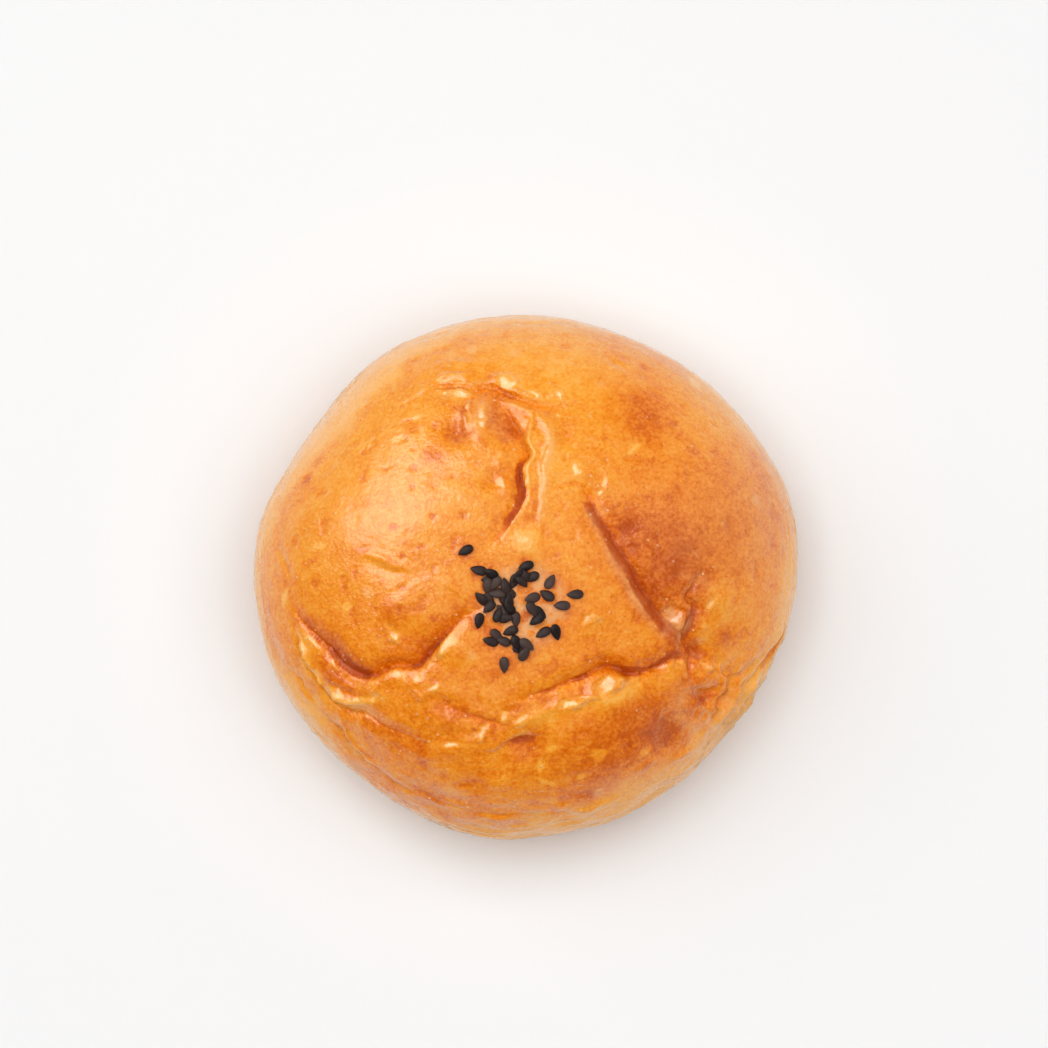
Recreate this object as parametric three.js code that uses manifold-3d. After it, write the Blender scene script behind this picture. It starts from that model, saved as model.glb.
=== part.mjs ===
// A round, glazed bread roll with black sesame seeds pressed into its top.
//
// Millimetres, +Z up. The origin is the middle of the flat underside, so the roll stands on z = 0.
// The roll is one baked piece: the crust is a closed skin worked out from the sizes below, and the
// seeds are fused to it, because they are baked on.

import * as THREE from "three";
import { mergeVertices } from "three/addons/utils/BufferGeometryUtils.js";
import Module from "manifold-3d";

// ---------------------------------------------------------------- driving dimensions

const HALF_X = 53.0; // half the width along X
const HALF_Y = 50.9; // half the width along Y
const CROWN_HEIGHT = 44.0; // smooth top above the floor
const WAIST_HEIGHT = 15.0; // height of the widest ring
const FOOT_SHARE = 0.82; // flat underside's radius as a share of the widest ring's
const DOME_FULLNESS = 2.4; // 2 is an ellipse, more is a fuller shoulder

// Stretches of the outline that stand in (below zero) or out: heading in degrees, mm, spread in degrees.
const OUTLINE_SWELLS = [
  { heading: 18, out: 0.5, spread: 10 },
  { heading: 68, out: -0.9, spread: 14 },
  { heading: 148, out: -2.2, spread: 16 },
  { heading: 225, out: -0.8, spread: 14 },
  { heading: 262, out: 1.3, spread: 11 },
  { heading: 298, out: -0.7, spread: 10 },
  { heading: 325, out: -2.0, spread: 18 },
];

// The shoulder that slumps, so that its side leans outwards.
const SLUMP = { heading: 318, fullness: -0.7, spread: 38 };

// Puffed cushions of crust (rise above zero) and dents in it: centre, rise and radius.
const CUSHIONS = [
  { at: [-24, 8.5], rise: 1.2, radius: 15 }, // left cushion
  { at: [36, 9], rise: 1.6, radius: 15 }, // right cushion
  { at: [14, 38], rise: 0.8, radius: 13 }, // far cushion
  { at: [17, -34], rise: 1.4, radius: 11 }, // near right cushion
  { at: [-16, -35], rise: 0.8, radius: 10 }, // near left cushion
  { at: [10, -9], rise: 0.7, radius: 9 }, // beside the seeds
  { at: [-1.5, -9.5], rise: -0.9, radius: 8 }, // hollow that holds the seeds
  { at: [-12.8, 24.4], rise: -1.3, radius: 2.3 },
  { at: [-3.4, 25.4], rise: -1.4, radius: 3.2 },
  { at: [20, 6], rise: -0.9, radius: 3.6 },
  { at: [26, 3], rise: -0.5, radius: 3.5 },
  { at: [33.3, -17], rise: -1.6, radius: 2.2 },
  { at: [27, -32], rise: -0.9, radius: 3.2 },
  { at: [0.5, -34.5], rise: -0.8, radius: 3.5 },
  { at: [-23, -15], rise: -0.8, radius: 4.5 },
  { at: [-12.3, -17], rise: 0.8, radius: 3 },
  { at: [15.6, -25.4], rise: 0.8, radius: 3 },
];

// Lines along which the crust has folded in. Each side of a fold has its own depth and width, left and
// right being those of someone who walks along its points: a deeper, narrower side is steeper.
const FOLDS = [
  {
    name: "far step",
    path: [[-20, 32.5], [-16.5, 34.3], [-11, 34], [-6.5, 33.4], [-1, 31.5], [4, 30], [9, 30]],
    left: { depth: 0.35, width: 2.4 },
    right: { depth: 1.7, width: 8 },
  },
  {
    name: "far groove",
    path: [
      [-3.8, 29.6], [-1.6, 26], [-0.6, 23], [0.5, 20], [-0.9, 17.4],
      [-0.4, 15], [0.1, 12.5], [-0.5, 10], [-2, 7.2], [-4.6, 3.5],
    ],
    left: { depth: 1.0, width: 2.0 },
    right: { depth: 2.4, width: 4.2 },
  },
  {
    name: "right groove",
    path: [[11.8, 13], [14, 8.5], [17.4, 3], [20.8, -2.8], [24.8, -8.8], [28.4, -14], [31.5, -18]],
    left: { depth: 2.4, width: 7 },
    right: { depth: 2.9, width: 4.5 },
  },
  {
    name: "short groove",
    path: [[33.5, -2.5], [31, -6.5], [32.5, -8.5], [31.3, -11.5], [30.6, -15], [33.5, -18]],
    left: { depth: 2.2, width: 2.6 },
    right: { depth: 2.2, width: 2.4 },
  },
  {
    name: "near groove",
    path: [[34, -19.3], [29, -18.8], [26, -20], [21, -22.2], [15.5, -21], [10, -23.7], [5, -25.5], [-1, -27]],
    left: { depth: 2.0, width: 3.4 },
    right: { depth: 2.7, width: 4 },
  },
  {
    name: "left groove",
    path: [
      [-43, -10.5], [-38.5, -16.5], [-35, -21.2], [-31.8, -23.6], [-28.6, -22.8],
      [-25.5, -20.6], [-20.5, -20.8], [-17.5, -17.9], [-13, -12.9], [-9.5, -10.6],
    ],
    left: { depth: 3.2, width: 5.6 },
    right: { depth: 1.5, width: 2.6 },
  },
  {
    name: "left lower groove",
    path: [[-43.5, -12.5], [-42, -19.5], [-38, -26], [-34, -28.5], [-30, -29.3], [-25.5, -32], [-18, -34.5]],
    left: { depth: 1.2, width: 2.2 },
    right: { depth: 0.8, width: 3 },
  },
  {
    name: "near step",
    path: [[-15.5, -26], [-12.5, -29], [-9, -30], [-5, -30.5], [-2.5, -28.5]],
    left: { depth: 1.1, width: 2.6 },
    right: { depth: 1.2, width: 2.2 },
  },
  {
    name: "near rim line",
    path: [
      [-51.5, -12], [-45.5, -19.5], [-39, -29], [-31, -37.5],
      [-20.5, -43.5], [-10, -47], [3, -47.5], [16, -44.5],
    ],
    left: { depth: 0.8, width: 3 },
    right: { depth: 0.6, width: 4 },
  },
  {
    name: "right rim slit",
    path: [[41.5, -24.5], [45, -20.5], [48, -17.2], [50, -13], [50.7, -10]],
    left: { depth: 0.9, width: 1.2 },
    right: { depth: 0.9, width: 1.6 },
  },
];

const ROLL_OVER = 1.8; // 1 is a flat-sided fold, more rolls its lips over further
const END_FADE = 0.6; // less keeps a fold deep until nearer its ends
const END_MARGIN = 0.02; // share of a fold's length, at each end, that is as shallow as it gets

// A seed's sizes, the share of its thickness sunk in the crust, the lift of one that lies over others,
// and the range of its lean in degrees.
const SEED = { length: 3.2, width: 2.0, thickness: 0.95, taper: 0.32, sunk: 0.27, stack: 0.5, lean: 50 };
const SEED_OVERLAP = 0.8; // seeds nearer than this share of a width lie over one another

// Seeds lie in loose clumps: centre, number of seeds and the radius that they spread over.
const SEED_CLUMPS = [
  { at: [-6.2, -4.4], seeds: 4, spread: 1.5 },
  { at: [-1.8, -4.2], seeds: 2, spread: 0.9 },
  { at: [0.5, -3.2], seeds: 4, spread: 1.8 },
  { at: [-3.8, -7.2], seeds: 5, spread: 1.9 },
  { at: [-7.2, -8.3], seeds: 3, spread: 1.5 },
  { at: [-3.6, -10.6], seeds: 4, spread: 1.6 },
  { at: [2.2, -10.6], seeds: 3, spread: 1.4 },
  { at: [-5.4, -15.4], seeds: 3, spread: 1.6 },
  { at: [-0.5, -16.8], seeds: 4, spread: 1.5 },
];

// Seeds that lie apart: place, and the heading of the blunt end in degrees.
const LONE_SEEDS = [
  { at: [-11.1, 1.1], heading: 28 },
  { at: [-8.6, -2.6], heading: -14 },
  { at: [4.8, -4.8], heading: 242 },
  { at: [4.3, -7.3], heading: -32 },
  { at: [9.5, -7.1], heading: 4 },
  { at: [7, -9.2], heading: 0 },
  { at: [1.4, -7.8], heading: 16 },
  { at: [-8.5, -12.1], heading: 78 },
  { at: [3.5, -14.3], heading: 30 },
  { at: [5.9, -14.2], heading: 105 },
  { at: [-2.6, -14], heading: 20 },
  { at: [-1.6, -11.8], heading: 92 },
  { at: [-3.8, -20.3], heading: 90 },
];

// ---------------------------------------------------------------- fineness

const CRUST_DETAIL = 19; // splits of each edge of the icosahedron that the crust is shaped from
const SEED_SIDES = 6;
const SEED_RINGS = 4;
const PATH_STEP = 1.0; // spacing of the points that a fold's smooth path is measured by
const CROWDING_REACH = 4; // corners of the crust this near a fold's line are drawn towards it
const SNAP = 0.6; // corners this near a fold's line are moved onto it
const CROWDING_RIM = 0.92; // share of the widest ring's radius beyond which corners stay where they are
const NORMAL_STEP = 0.8; // reach of the samples that the crust's outward direction is measured by
const WELD = 1e-4; // corners nearer than this are one
const DRAW_START = 21580; // start of the random draws

// Angles from the crown, on the sphere that the crust is shaped from, at which the dome and the side end.
const DOME_END = THREE.MathUtils.degToRad(138);
const SIDE_END = THREE.MathUtils.degToRad(156);
const RIM_SHARE = 0.999; // farthest place on the dome, as a share of the widest ring's radius
const LEAST_DROP = 1e-9; // keeps the slope finite at the widest ring

// ---------------------------------------------------------------- form of the crust

const degrees = THREE.MathUtils.radToDeg;
const radians = THREE.MathUtils.degToRad;
const bell = (distance, spread) => Math.exp(-((distance / spread) ** 2));

// How far apart two headings are, in degrees.
function headingGap(a, b) {
  return ((((a - b + 180) % 360) + 360) % 360) - 180;
}

// Radius of the widest ring at a heading.
function waistRadius(heading) {
  const ellipse = 1 / Math.hypot(Math.cos(heading) / HALF_X, Math.sin(heading) / HALF_Y);
  const swell = OUTLINE_SWELLS.reduce(
    (sum, s) => sum + s.out * bell(headingGap(degrees(heading), s.heading), s.spread),
    0,
  );
  return ellipse + swell;
}

function fullness(heading) {
  return DOME_FULLNESS + SLUMP.fullness * bell(headingGap(degrees(heading), SLUMP.heading), SLUMP.spread);
}

// The section at a heading, before cushions and folds: radius, height and outward direction at an
// angle from the crown.
function section(heading, fall) {
  const waist = waistRadius(heading);
  const foot = waist * FOOT_SHARE;
  if (fall <= DOME_END) {
    const share = Math.sin((fall / DOME_END) * (Math.PI / 2));
    const power = fullness(heading);
    const drop = Math.sqrt(Math.max(1 - share ** power, LEAST_DROP));
    const rise = CROWN_HEIGHT - WAIST_HEIGHT;
    const slope = ((rise / waist) * (power / 2) * share ** (power - 1)) / drop;
    const length = Math.hypot(slope, 1);
    return { radius: waist * share, height: WAIST_HEIGHT + rise * drop, out: slope / length, up: 1 / length };
  }
  if (fall <= SIDE_END) {
    const turn = ((fall - DOME_END) / (SIDE_END - DOME_END)) * (Math.PI / 2);
    return {
      radius: foot + (waist - foot) * Math.cos(turn),
      height: WAIST_HEIGHT * (1 - Math.sin(turn)),
      out: Math.cos(turn),
      up: -Math.sin(turn),
    };
  }
  return { radius: (foot * (Math.PI - fall)) / (Math.PI - SIDE_END), height: 0, out: 0, up: 0 };
}

// A fold with its smooth path measured out once.
function measuredFold(fold) {
  const curve = new THREE.CatmullRomCurve3(fold.path.map(([x, y]) => new THREE.Vector3(x, y, 0)));
  const steps = Math.ceil(curve.getLength() / PATH_STEP);
  return { ...fold, points: curve.getSpacedPoints(steps) };
}

const MEASURED_FOLDS = FOLDS.map(measuredFold);

// The place of a fold's line that is nearest to a place, its distance, its side and how far along it is.
function nearestOn(fold, x, y) {
  let nearest = { distance: Infinity };
  const last = fold.points.length - 1;
  for (let i = 0; i < last; i += 1) {
    const a = fold.points[i];
    const b = fold.points[i + 1];
    const [dx, dy] = [b.x - a.x, b.y - a.y];
    const t = THREE.MathUtils.clamp(((x - a.x) * dx + (y - a.y) * dy) / (dx * dx + dy * dy), 0, 1);
    const [px, py] = [a.x + t * dx, a.y + t * dy];
    const distance = Math.hypot(x - px, y - py);
    const side = dx * (y - py) - dy * (x - px);
    if (distance < nearest.distance) nearest = { distance, side, along: (i + t) / last, px, py };
  }
  return nearest;
}

// Depth of one fold at a place: sharp at the bottom, rolled over at the lips and fading at both ends.
function foldDepth(fold, x, y) {
  const { distance, side, along } = nearestOn(fold, x, y);
  const { depth, width } = side > 0 ? fold.left : fold.right;
  const inward = Math.max(1 - distance / width, 0);
  const rolled = 1 - (1 - inward ** ROLL_OVER) ** (1 / ROLL_OVER);
  const fade = Math.sin(Math.PI * THREE.MathUtils.clamp(along, END_MARGIN, 1 - END_MARGIN)) ** END_FADE;
  return depth * fade * rolled;
}

// How far the crust stands out from its smooth section at a place seen from above.
function relief(x, y) {
  const rise = (c) => c.rise * bell(Math.hypot(x - c.at[0], y - c.at[1]), c.radius);
  const cushions = CUSHIONS.reduce((sum, cushion) => sum + rise(cushion), 0);
  const folds = MEASURED_FOLDS.reduce((sum, fold) => sum + foldDepth(fold, x, y), 0);
  return cushions - folds;
}

// The crust at a heading and an angle from the crown. The relief dies out down the side.
function crustPoint(heading, fall) {
  const { radius, height, out, up } = section(heading, fall);
  const [x, y] = [radius * Math.cos(heading), radius * Math.sin(heading)];
  const stay = 1 - THREE.MathUtils.smoothstep(fall, DOME_END, SIDE_END);
  const stand = stay > 0 ? relief(x, y) * stay : 0;
  return new THREE.Vector3(
    x + stand * out * Math.cos(heading),
    y + stand * out * Math.sin(heading),
    height + stand * up,
  );
}

// The top of the crust above or below a place seen from above.
function topAt(x, y) {
  const heading = Math.atan2(y, x);
  const share = Math.min(Math.hypot(x, y) / waistRadius(heading), RIM_SHARE);
  return crustPoint(heading, (Math.asin(share) / (Math.PI / 2)) * DOME_END);
}

// The crust's corner for a direction. Corners crowd towards the folds, where the crust bends most.
function cornerFor(direction) {
  const heading = Math.atan2(direction.y, direction.x);
  const fall = Math.acos(THREE.MathUtils.clamp(direction.z, -1, 1));
  const { radius } = section(heading, fall);
  const [x, y] = [radius * Math.cos(heading), radius * Math.sin(heading)];
  const spots = MEASURED_FOLDS.map((fold) => nearestOn(fold, x, y));
  const spot = spots.reduce((best, other) => (other.distance < best.distance ? other : best));
  const onWall = fall > DOME_END || radius > CROWDING_RIM * waistRadius(heading);
  if (onWall || spot.distance > CROWDING_REACH) return crustPoint(heading, fall);
  const nearer = spot.distance < SNAP ? 0 : spot.distance / CROWDING_REACH;
  return topAt(spot.px + nearer * (x - spot.px), spot.py + nearer * (y - spot.py));
}

// The crust as a closed skin, from an icosahedron's split faces pushed out to the form.
function crustGeometry() {
  const geometry = new THREE.IcosahedronGeometry(1, CRUST_DETAIL);
  const position = geometry.getAttribute("position");
  const direction = new THREE.Vector3();
  for (let i = 0; i < position.count; i += 1) {
    const point = cornerFor(direction.fromBufferAttribute(position, i).normalize());
    position.setXYZ(i, point.x, point.y, point.z);
  }
  return geometry;
}

// ---------------------------------------------------------------- seeds

// A number from 0 to 1 at each call, the same run of numbers every time.
function randomDraws(start) {
  let state = start;
  return () => {
    state = (state + 0x6d2b79f5) >>> 0;
    let mixed = Math.imul(state ^ (state >>> 15), state | 1);
    mixed ^= mixed + Math.imul(mixed ^ (mixed >>> 7), mixed | 61);
    return ((mixed ^ (mixed >>> 14)) >>> 0) / 4294967296;
  };
}

// Where each seed lies: its place, heading in degrees, lean in degrees and height in the pile.
function seedPlaces() {
  const draw = randomDraws(DRAW_START);
  const places = LONE_SEEDS.map(({ at: [x, y], heading }) => ({ x, y, heading }));
  for (const clump of SEED_CLUMPS) {
    const phase = draw() * Math.PI * 2;
    for (let k = 0; k < clump.seeds; k += 1) {
      const turn = phase + k * Math.PI * (3 - Math.sqrt(5));
      const reach = clump.spread * Math.sqrt((k + 0.5) / clump.seeds);
      places.push({
        x: clump.at[0] + reach * Math.cos(turn),
        y: clump.at[1] + reach * Math.sin(turn),
        heading: draw() * 360,
      });
    }
  }
  places.forEach((place, i) => {
    const reach = SEED.width * SEED_OVERLAP;
    const over = places.slice(0, i).some((p) => Math.hypot(p.x - place.x, p.y - place.y) < reach);
    place.lift = over ? SEED.stack : 0;
    place.lean = (draw() - 0.5) * SEED.lean;
  });
  return places;
}

// The outward direction of the crust's top above or below a place.
function topNormal(x, y) {
  const alongX = topAt(x + NORMAL_STEP, y).sub(topAt(x - NORMAL_STEP, y));
  const alongY = topAt(x, y + NORMAL_STEP).sub(topAt(x, y - NORMAL_STEP));
  return alongX.cross(alongY).normalize();
}

// One seed about its own middle: a flattened drop along X, blunt at +X and pointed at -X.
function seedGeometry() {
  const geometry = new THREE.SphereGeometry(1, SEED_SIDES, SEED_RINGS).rotateZ(-Math.PI / 2);
  const position = geometry.getAttribute("position");
  for (let i = 0; i < position.count; i += 1) {
    const along = position.getX(i);
    const girth = 1 + SEED.taper * along;
    position.setXYZ(
      i,
      (along * SEED.length) / 2,
      (position.getY(i) * girth * SEED.width) / 2,
      (position.getZ(i) * girth * SEED.thickness) / 2,
    );
  }
  return geometry;
}

function placedSeed({ x, y, heading, lean, lift }) {
  const normal = topNormal(x, y);
  const ahead = new THREE.Vector3(Math.cos(radians(heading)), Math.sin(radians(heading)), 0);
  ahead.addScaledVector(normal, -ahead.dot(normal)).normalize();
  const aside = new THREE.Vector3().crossVectors(normal, ahead);
  const frame = new THREE.Matrix4().makeBasis(ahead, aside, normal);
  frame.multiply(new THREE.Matrix4().makeRotationX(radians(lean)));
  frame.setPosition(topAt(x, y).addScaledVector(normal, SEED.thickness * (0.5 - SEED.sunk) + lift));
  return seedGeometry().applyMatrix4(frame);
}

// ---------------------------------------------------------------- joining

const manifold = await Module();
manifold.setup();

function solidOf(geometry) {
  geometry.deleteAttribute("normal");
  geometry.deleteAttribute("uv");
  const merged = mergeVertices(geometry, WELD);
  return new manifold.Manifold(
    new manifold.Mesh({
      numProp: 3,
      vertProperties: new Float32Array(merged.getAttribute("position").array),
      triVerts: new Uint32Array(merged.index.array),
    }),
  );
}

function geometryOf(solid) {
  const mesh = solid.getMesh();
  const geometry = new THREE.BufferGeometry();
  geometry.setAttribute("position", new THREE.BufferAttribute(new Float32Array(mesh.vertProperties), 3));
  geometry.setIndex(new THREE.BufferAttribute(new Uint32Array(mesh.triVerts), 1));
  geometry.computeVertexNormals();
  return geometry;
}

// The crust with its seeds fused on. Of what fusing leaves, the outer skin is kept, so gaps that are
// sealed between seeds are filled.
function rollGeometry() {
  let fused = solidOf(crustGeometry());
  for (const place of seedPlaces()) fused = fused.add(solidOf(placedSeed(place)));
  const outer = fused.decompose().reduce((best, piece) => (piece.volume() > best.volume() ? piece : best));
  return geometryOf(outer);
}

const bakedCrust = new THREE.MeshStandardMaterial({
  name: "baked_crust",
  color: 0xe8892f,
  roughness: 0.4,
  metalness: 0,
});

const breadRoll = new THREE.Group();
const roll = new THREE.Mesh(rollGeometry(), bakedCrust);
roll.name = "roll";
breadRoll.add(roll);

export default breadRoll;
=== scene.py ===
"""A round, glazed bread roll with black sesame seeds baked onto its top.

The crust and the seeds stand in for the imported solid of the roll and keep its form. Lengths in the
tables below are millimetres in the part's own frame: +Z up, origin at the middle of the underside.
"""

import itertools
import math

import bpy
import numpy as np
from mathutils import Matrix, Vector
from mathutils.bvhtree import BVHTree


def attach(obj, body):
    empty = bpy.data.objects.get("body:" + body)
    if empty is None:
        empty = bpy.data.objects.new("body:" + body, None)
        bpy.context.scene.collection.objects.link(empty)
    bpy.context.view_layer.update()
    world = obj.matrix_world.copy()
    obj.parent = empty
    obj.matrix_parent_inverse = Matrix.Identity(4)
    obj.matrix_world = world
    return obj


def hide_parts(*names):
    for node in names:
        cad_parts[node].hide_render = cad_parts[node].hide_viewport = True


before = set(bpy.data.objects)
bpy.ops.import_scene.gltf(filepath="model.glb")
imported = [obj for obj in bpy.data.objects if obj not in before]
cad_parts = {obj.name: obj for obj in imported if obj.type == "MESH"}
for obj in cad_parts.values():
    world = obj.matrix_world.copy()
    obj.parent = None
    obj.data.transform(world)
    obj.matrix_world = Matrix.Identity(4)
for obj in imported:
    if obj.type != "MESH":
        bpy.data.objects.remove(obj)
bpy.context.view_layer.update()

MM = 0.001
BODY = "root"
NODE = "roll"
CRUST_SLOT = "baked_crust"
SEED_SLOT = "black_seed"

# -------- sizes of the roll

HALF_X = 53.0
HALF_Y = 50.9
CROWN_HEIGHT = 44.0
WAIST_HEIGHT = 15.0
FOOT_SHARE = 0.82
DOME_FULLNESS = 2.4

# Stretches of the outline that stand in or out: heading in degrees, mm out, spread in degrees.
OUTLINE_SWELLS = [
    (18, 0.5, 10),
    (68, -0.9, 14),
    (148, -2.2, 16),
    (225, -0.8, 14),
    (262, 1.3, 11),
    (298, -0.7, 10),
    (325, -2.0, 18),
]
# The shoulder that leans outwards: heading, loss of fullness, spread.
SLUMP = (318, -0.7, 38)

# Puffed cushions (rise above zero) and dents: x, y, rise, radius.
CUSHIONS = [
    (-24, 8.5, 1.2, 15), (36, 9, 1.6, 15), (14, 38, 0.8, 13), (17, -34, 1.4, 11),
    (-16, -35, 0.8, 10), (10, -9, 0.7, 9), (-1.5, -9.5, -0.9, 8), (-12.8, 24.4, -1.3, 2.3),
    (-8, 35.3, -0.5, 1.5), (-3.4, 25.4, -1.4, 3.2), (-6, 14.5, -0.6, 2), (-3, 13.5, 0.3, 2),
    (7, 23.5, -0.5, 3), (20, 6, -0.9, 3.6), (26, 3, -0.5, 3.5), (33.3, -17, -1.6, 2.2),
    (27, -32, -0.9, 3.2), (0.5, -34.5, -0.8, 3.5), (-23, -15, -0.8, 4.5), (-24, -10, 0.5, 3),
    (37.5, -7.5, 0.6, 3), (-12.3, -17, 0.8, 3), (-19.4, -23.8, 0.6, 2.2), (15.6, -25.4, 0.8, 3),
    (0.6, -31, 0.7, 2.6), (-10.3, -35.8, 0.6, 2.6), (12.4, -11.6, 0.4, 2.6), (1.2, 2.4, 0.5, 2.4),
    (11.6, 15.2, 0.35, 1.7), (15.8, 13.8, 0.35, 1.4), (30, -10.5, 0.5, 2), (12.8, -24.8, 0.45, 1.2),
]

# Lines along which the crust has folded in.
FAR_STEP = [(-20, 32.5), (-16.5, 34.3), (-11, 34), (-6.5, 33.4), (-1, 31.5), (4, 30), (9, 30)]
FAR_GROOVE = [
    (-3.8, 29.6), (-1.6, 26), (-0.6, 23), (0.5, 20), (-0.9, 17.4),
    (-0.4, 15), (0.1, 12.5), (-0.5, 10), (-2, 7.2), (-4.6, 3.5),
]
SHORT_CREASE = [(5, 12.5), (8, 14), (10.5, 13.8), (12.5, 11)]
RIGHT_GROOVE = [(11.2, 14.4), (13.6, 9), (17.4, 3), (20.8, -2.8), (24.8, -8.8), (28.4, -14), (31.5, -18)]
SHORT_GROOVE = [(33.5, -2.5), (31, -6.5), (32.5, -8.5), (31.3, -11.5), (30.6, -15), (33.5, -18)]
NEAR_GROOVE = [
    (34, -19.3), (29, -18.8), (26, -20), (21, -21.9),
    (15.5, -20.5), (10, -23.3), (5, -25.5), (-1, -27),
]
LEFT_GROOVE = [
    (-43, -10.5), (-38.5, -16.5), (-35, -20.6), (-31.8, -22.6), (-28.6, -22.3),
    (-25.5, -20.6), (-20.5, -20.8), (-17.5, -17.9), (-13, -12.9), (-9.5, -10.6),
]
LEFT_LOWER_GROOVE = [
    (-43.5, -12.5), (-42, -19.5), (-38, -26), (-34, -28.5),
    (-30, -29.3), (-25.5, -32), (-18, -34.5),
]
NEAR_STEP = [(-15.5, -26), (-12.5, -29), (-9, -30), (-5, -30.5), (-2.5, -28.5)]
NEAR_RIM = [
    (-51.5, -12), (-45.5, -19.5), (-39, -29), (-31, -37.5),
    (-20.5, -43.5), (-10, -47), (3, -47.5), (16, -44.5),
]
RIM_SLIT = [(41.5, -24.5), (45, -20.5), (48, -17.2), (50, -13), (50.7, -10)]
FAR_LIP = [
    (-3.3, 30.3), (-0.5, 29.2), (1.3, 27.6), (0.8, 25.4), (0.4, 23), (1.6, 20),
    (0.3, 17.2), (0.8, 14.8), (1.2, 12.4), (0.6, 9.8), (-0.7, 7.2),
]
FAR_RIDGE = [
    (-2.4, 31), (1.2, 29), (3.2, 27), (4.4, 24.6), (5, 21.6),
    (3.8, 18.9), (3.7, 16.2), (4, 13), (3.6, 9.9), (3.2, 6.7),
]
# Creases where the right folds meet.
MEETING_CREASE = [(32.9, -18), (31.9, -19.9), (31.8, -21.3), (33, -22.8)]
RIM_CREASE = [(38.1, -20.2), (39.7, -22.7), (38.7, -25.7), (36.1, -29)]
RIM_ARC = [(35.7, -15), (36.6, -18.1), (38.1, -20.5), (40.2, -21.5), (42.8, -19.7), (45.2, -17.4)]
# The pale ridges beside the near groove and in the left fold.
NEAR_LIP = [
    (31.4, -20.6), (27.7, -21), (23.6, -22.2), (18.9, -24.4),
    (12.1, -27.2), (6.9, -28.8), (-0.6, -31),
]
LEFT_LIP = [(-42.6, -14.1), (-41.2, -18.6), (-38.9, -22.5), (-36.1, -26), (-32.7, -27), (-27.1, -26)]

# Main folds: path, then the depth and the width of the wall on its left and on its right.
FOLDS = [
    (FAR_STEP, 0.35, 1.2, 1.7, 8),
    (FAR_GROOVE, 1.0, 0.7, 2.4, 4.2),
    (SHORT_CREASE, 0.6, 1.2, 0.9, 1.8),
    (RIGHT_GROOVE, 2.4, 7, 2.9, 4.5),
    (SHORT_GROOVE, 2.2, 2.6, 2.2, 2.4),
    (NEAR_GROOVE, 2.0, 3.4, 2.7, 4),
    (LEFT_GROOVE, 3.2, 5.6, 1.5, 2.6),
    (LEFT_LOWER_GROOVE, 1.2, 2.2, 0.8, 3),
    (NEAR_STEP, 1.1, 2.6, 1.2, 2.2),
    (NEAR_RIM, 0.8, 3, 0.6, 4),
    (RIM_SLIT, 0.9, 1.2, 0.9, 1.6),
]

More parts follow.
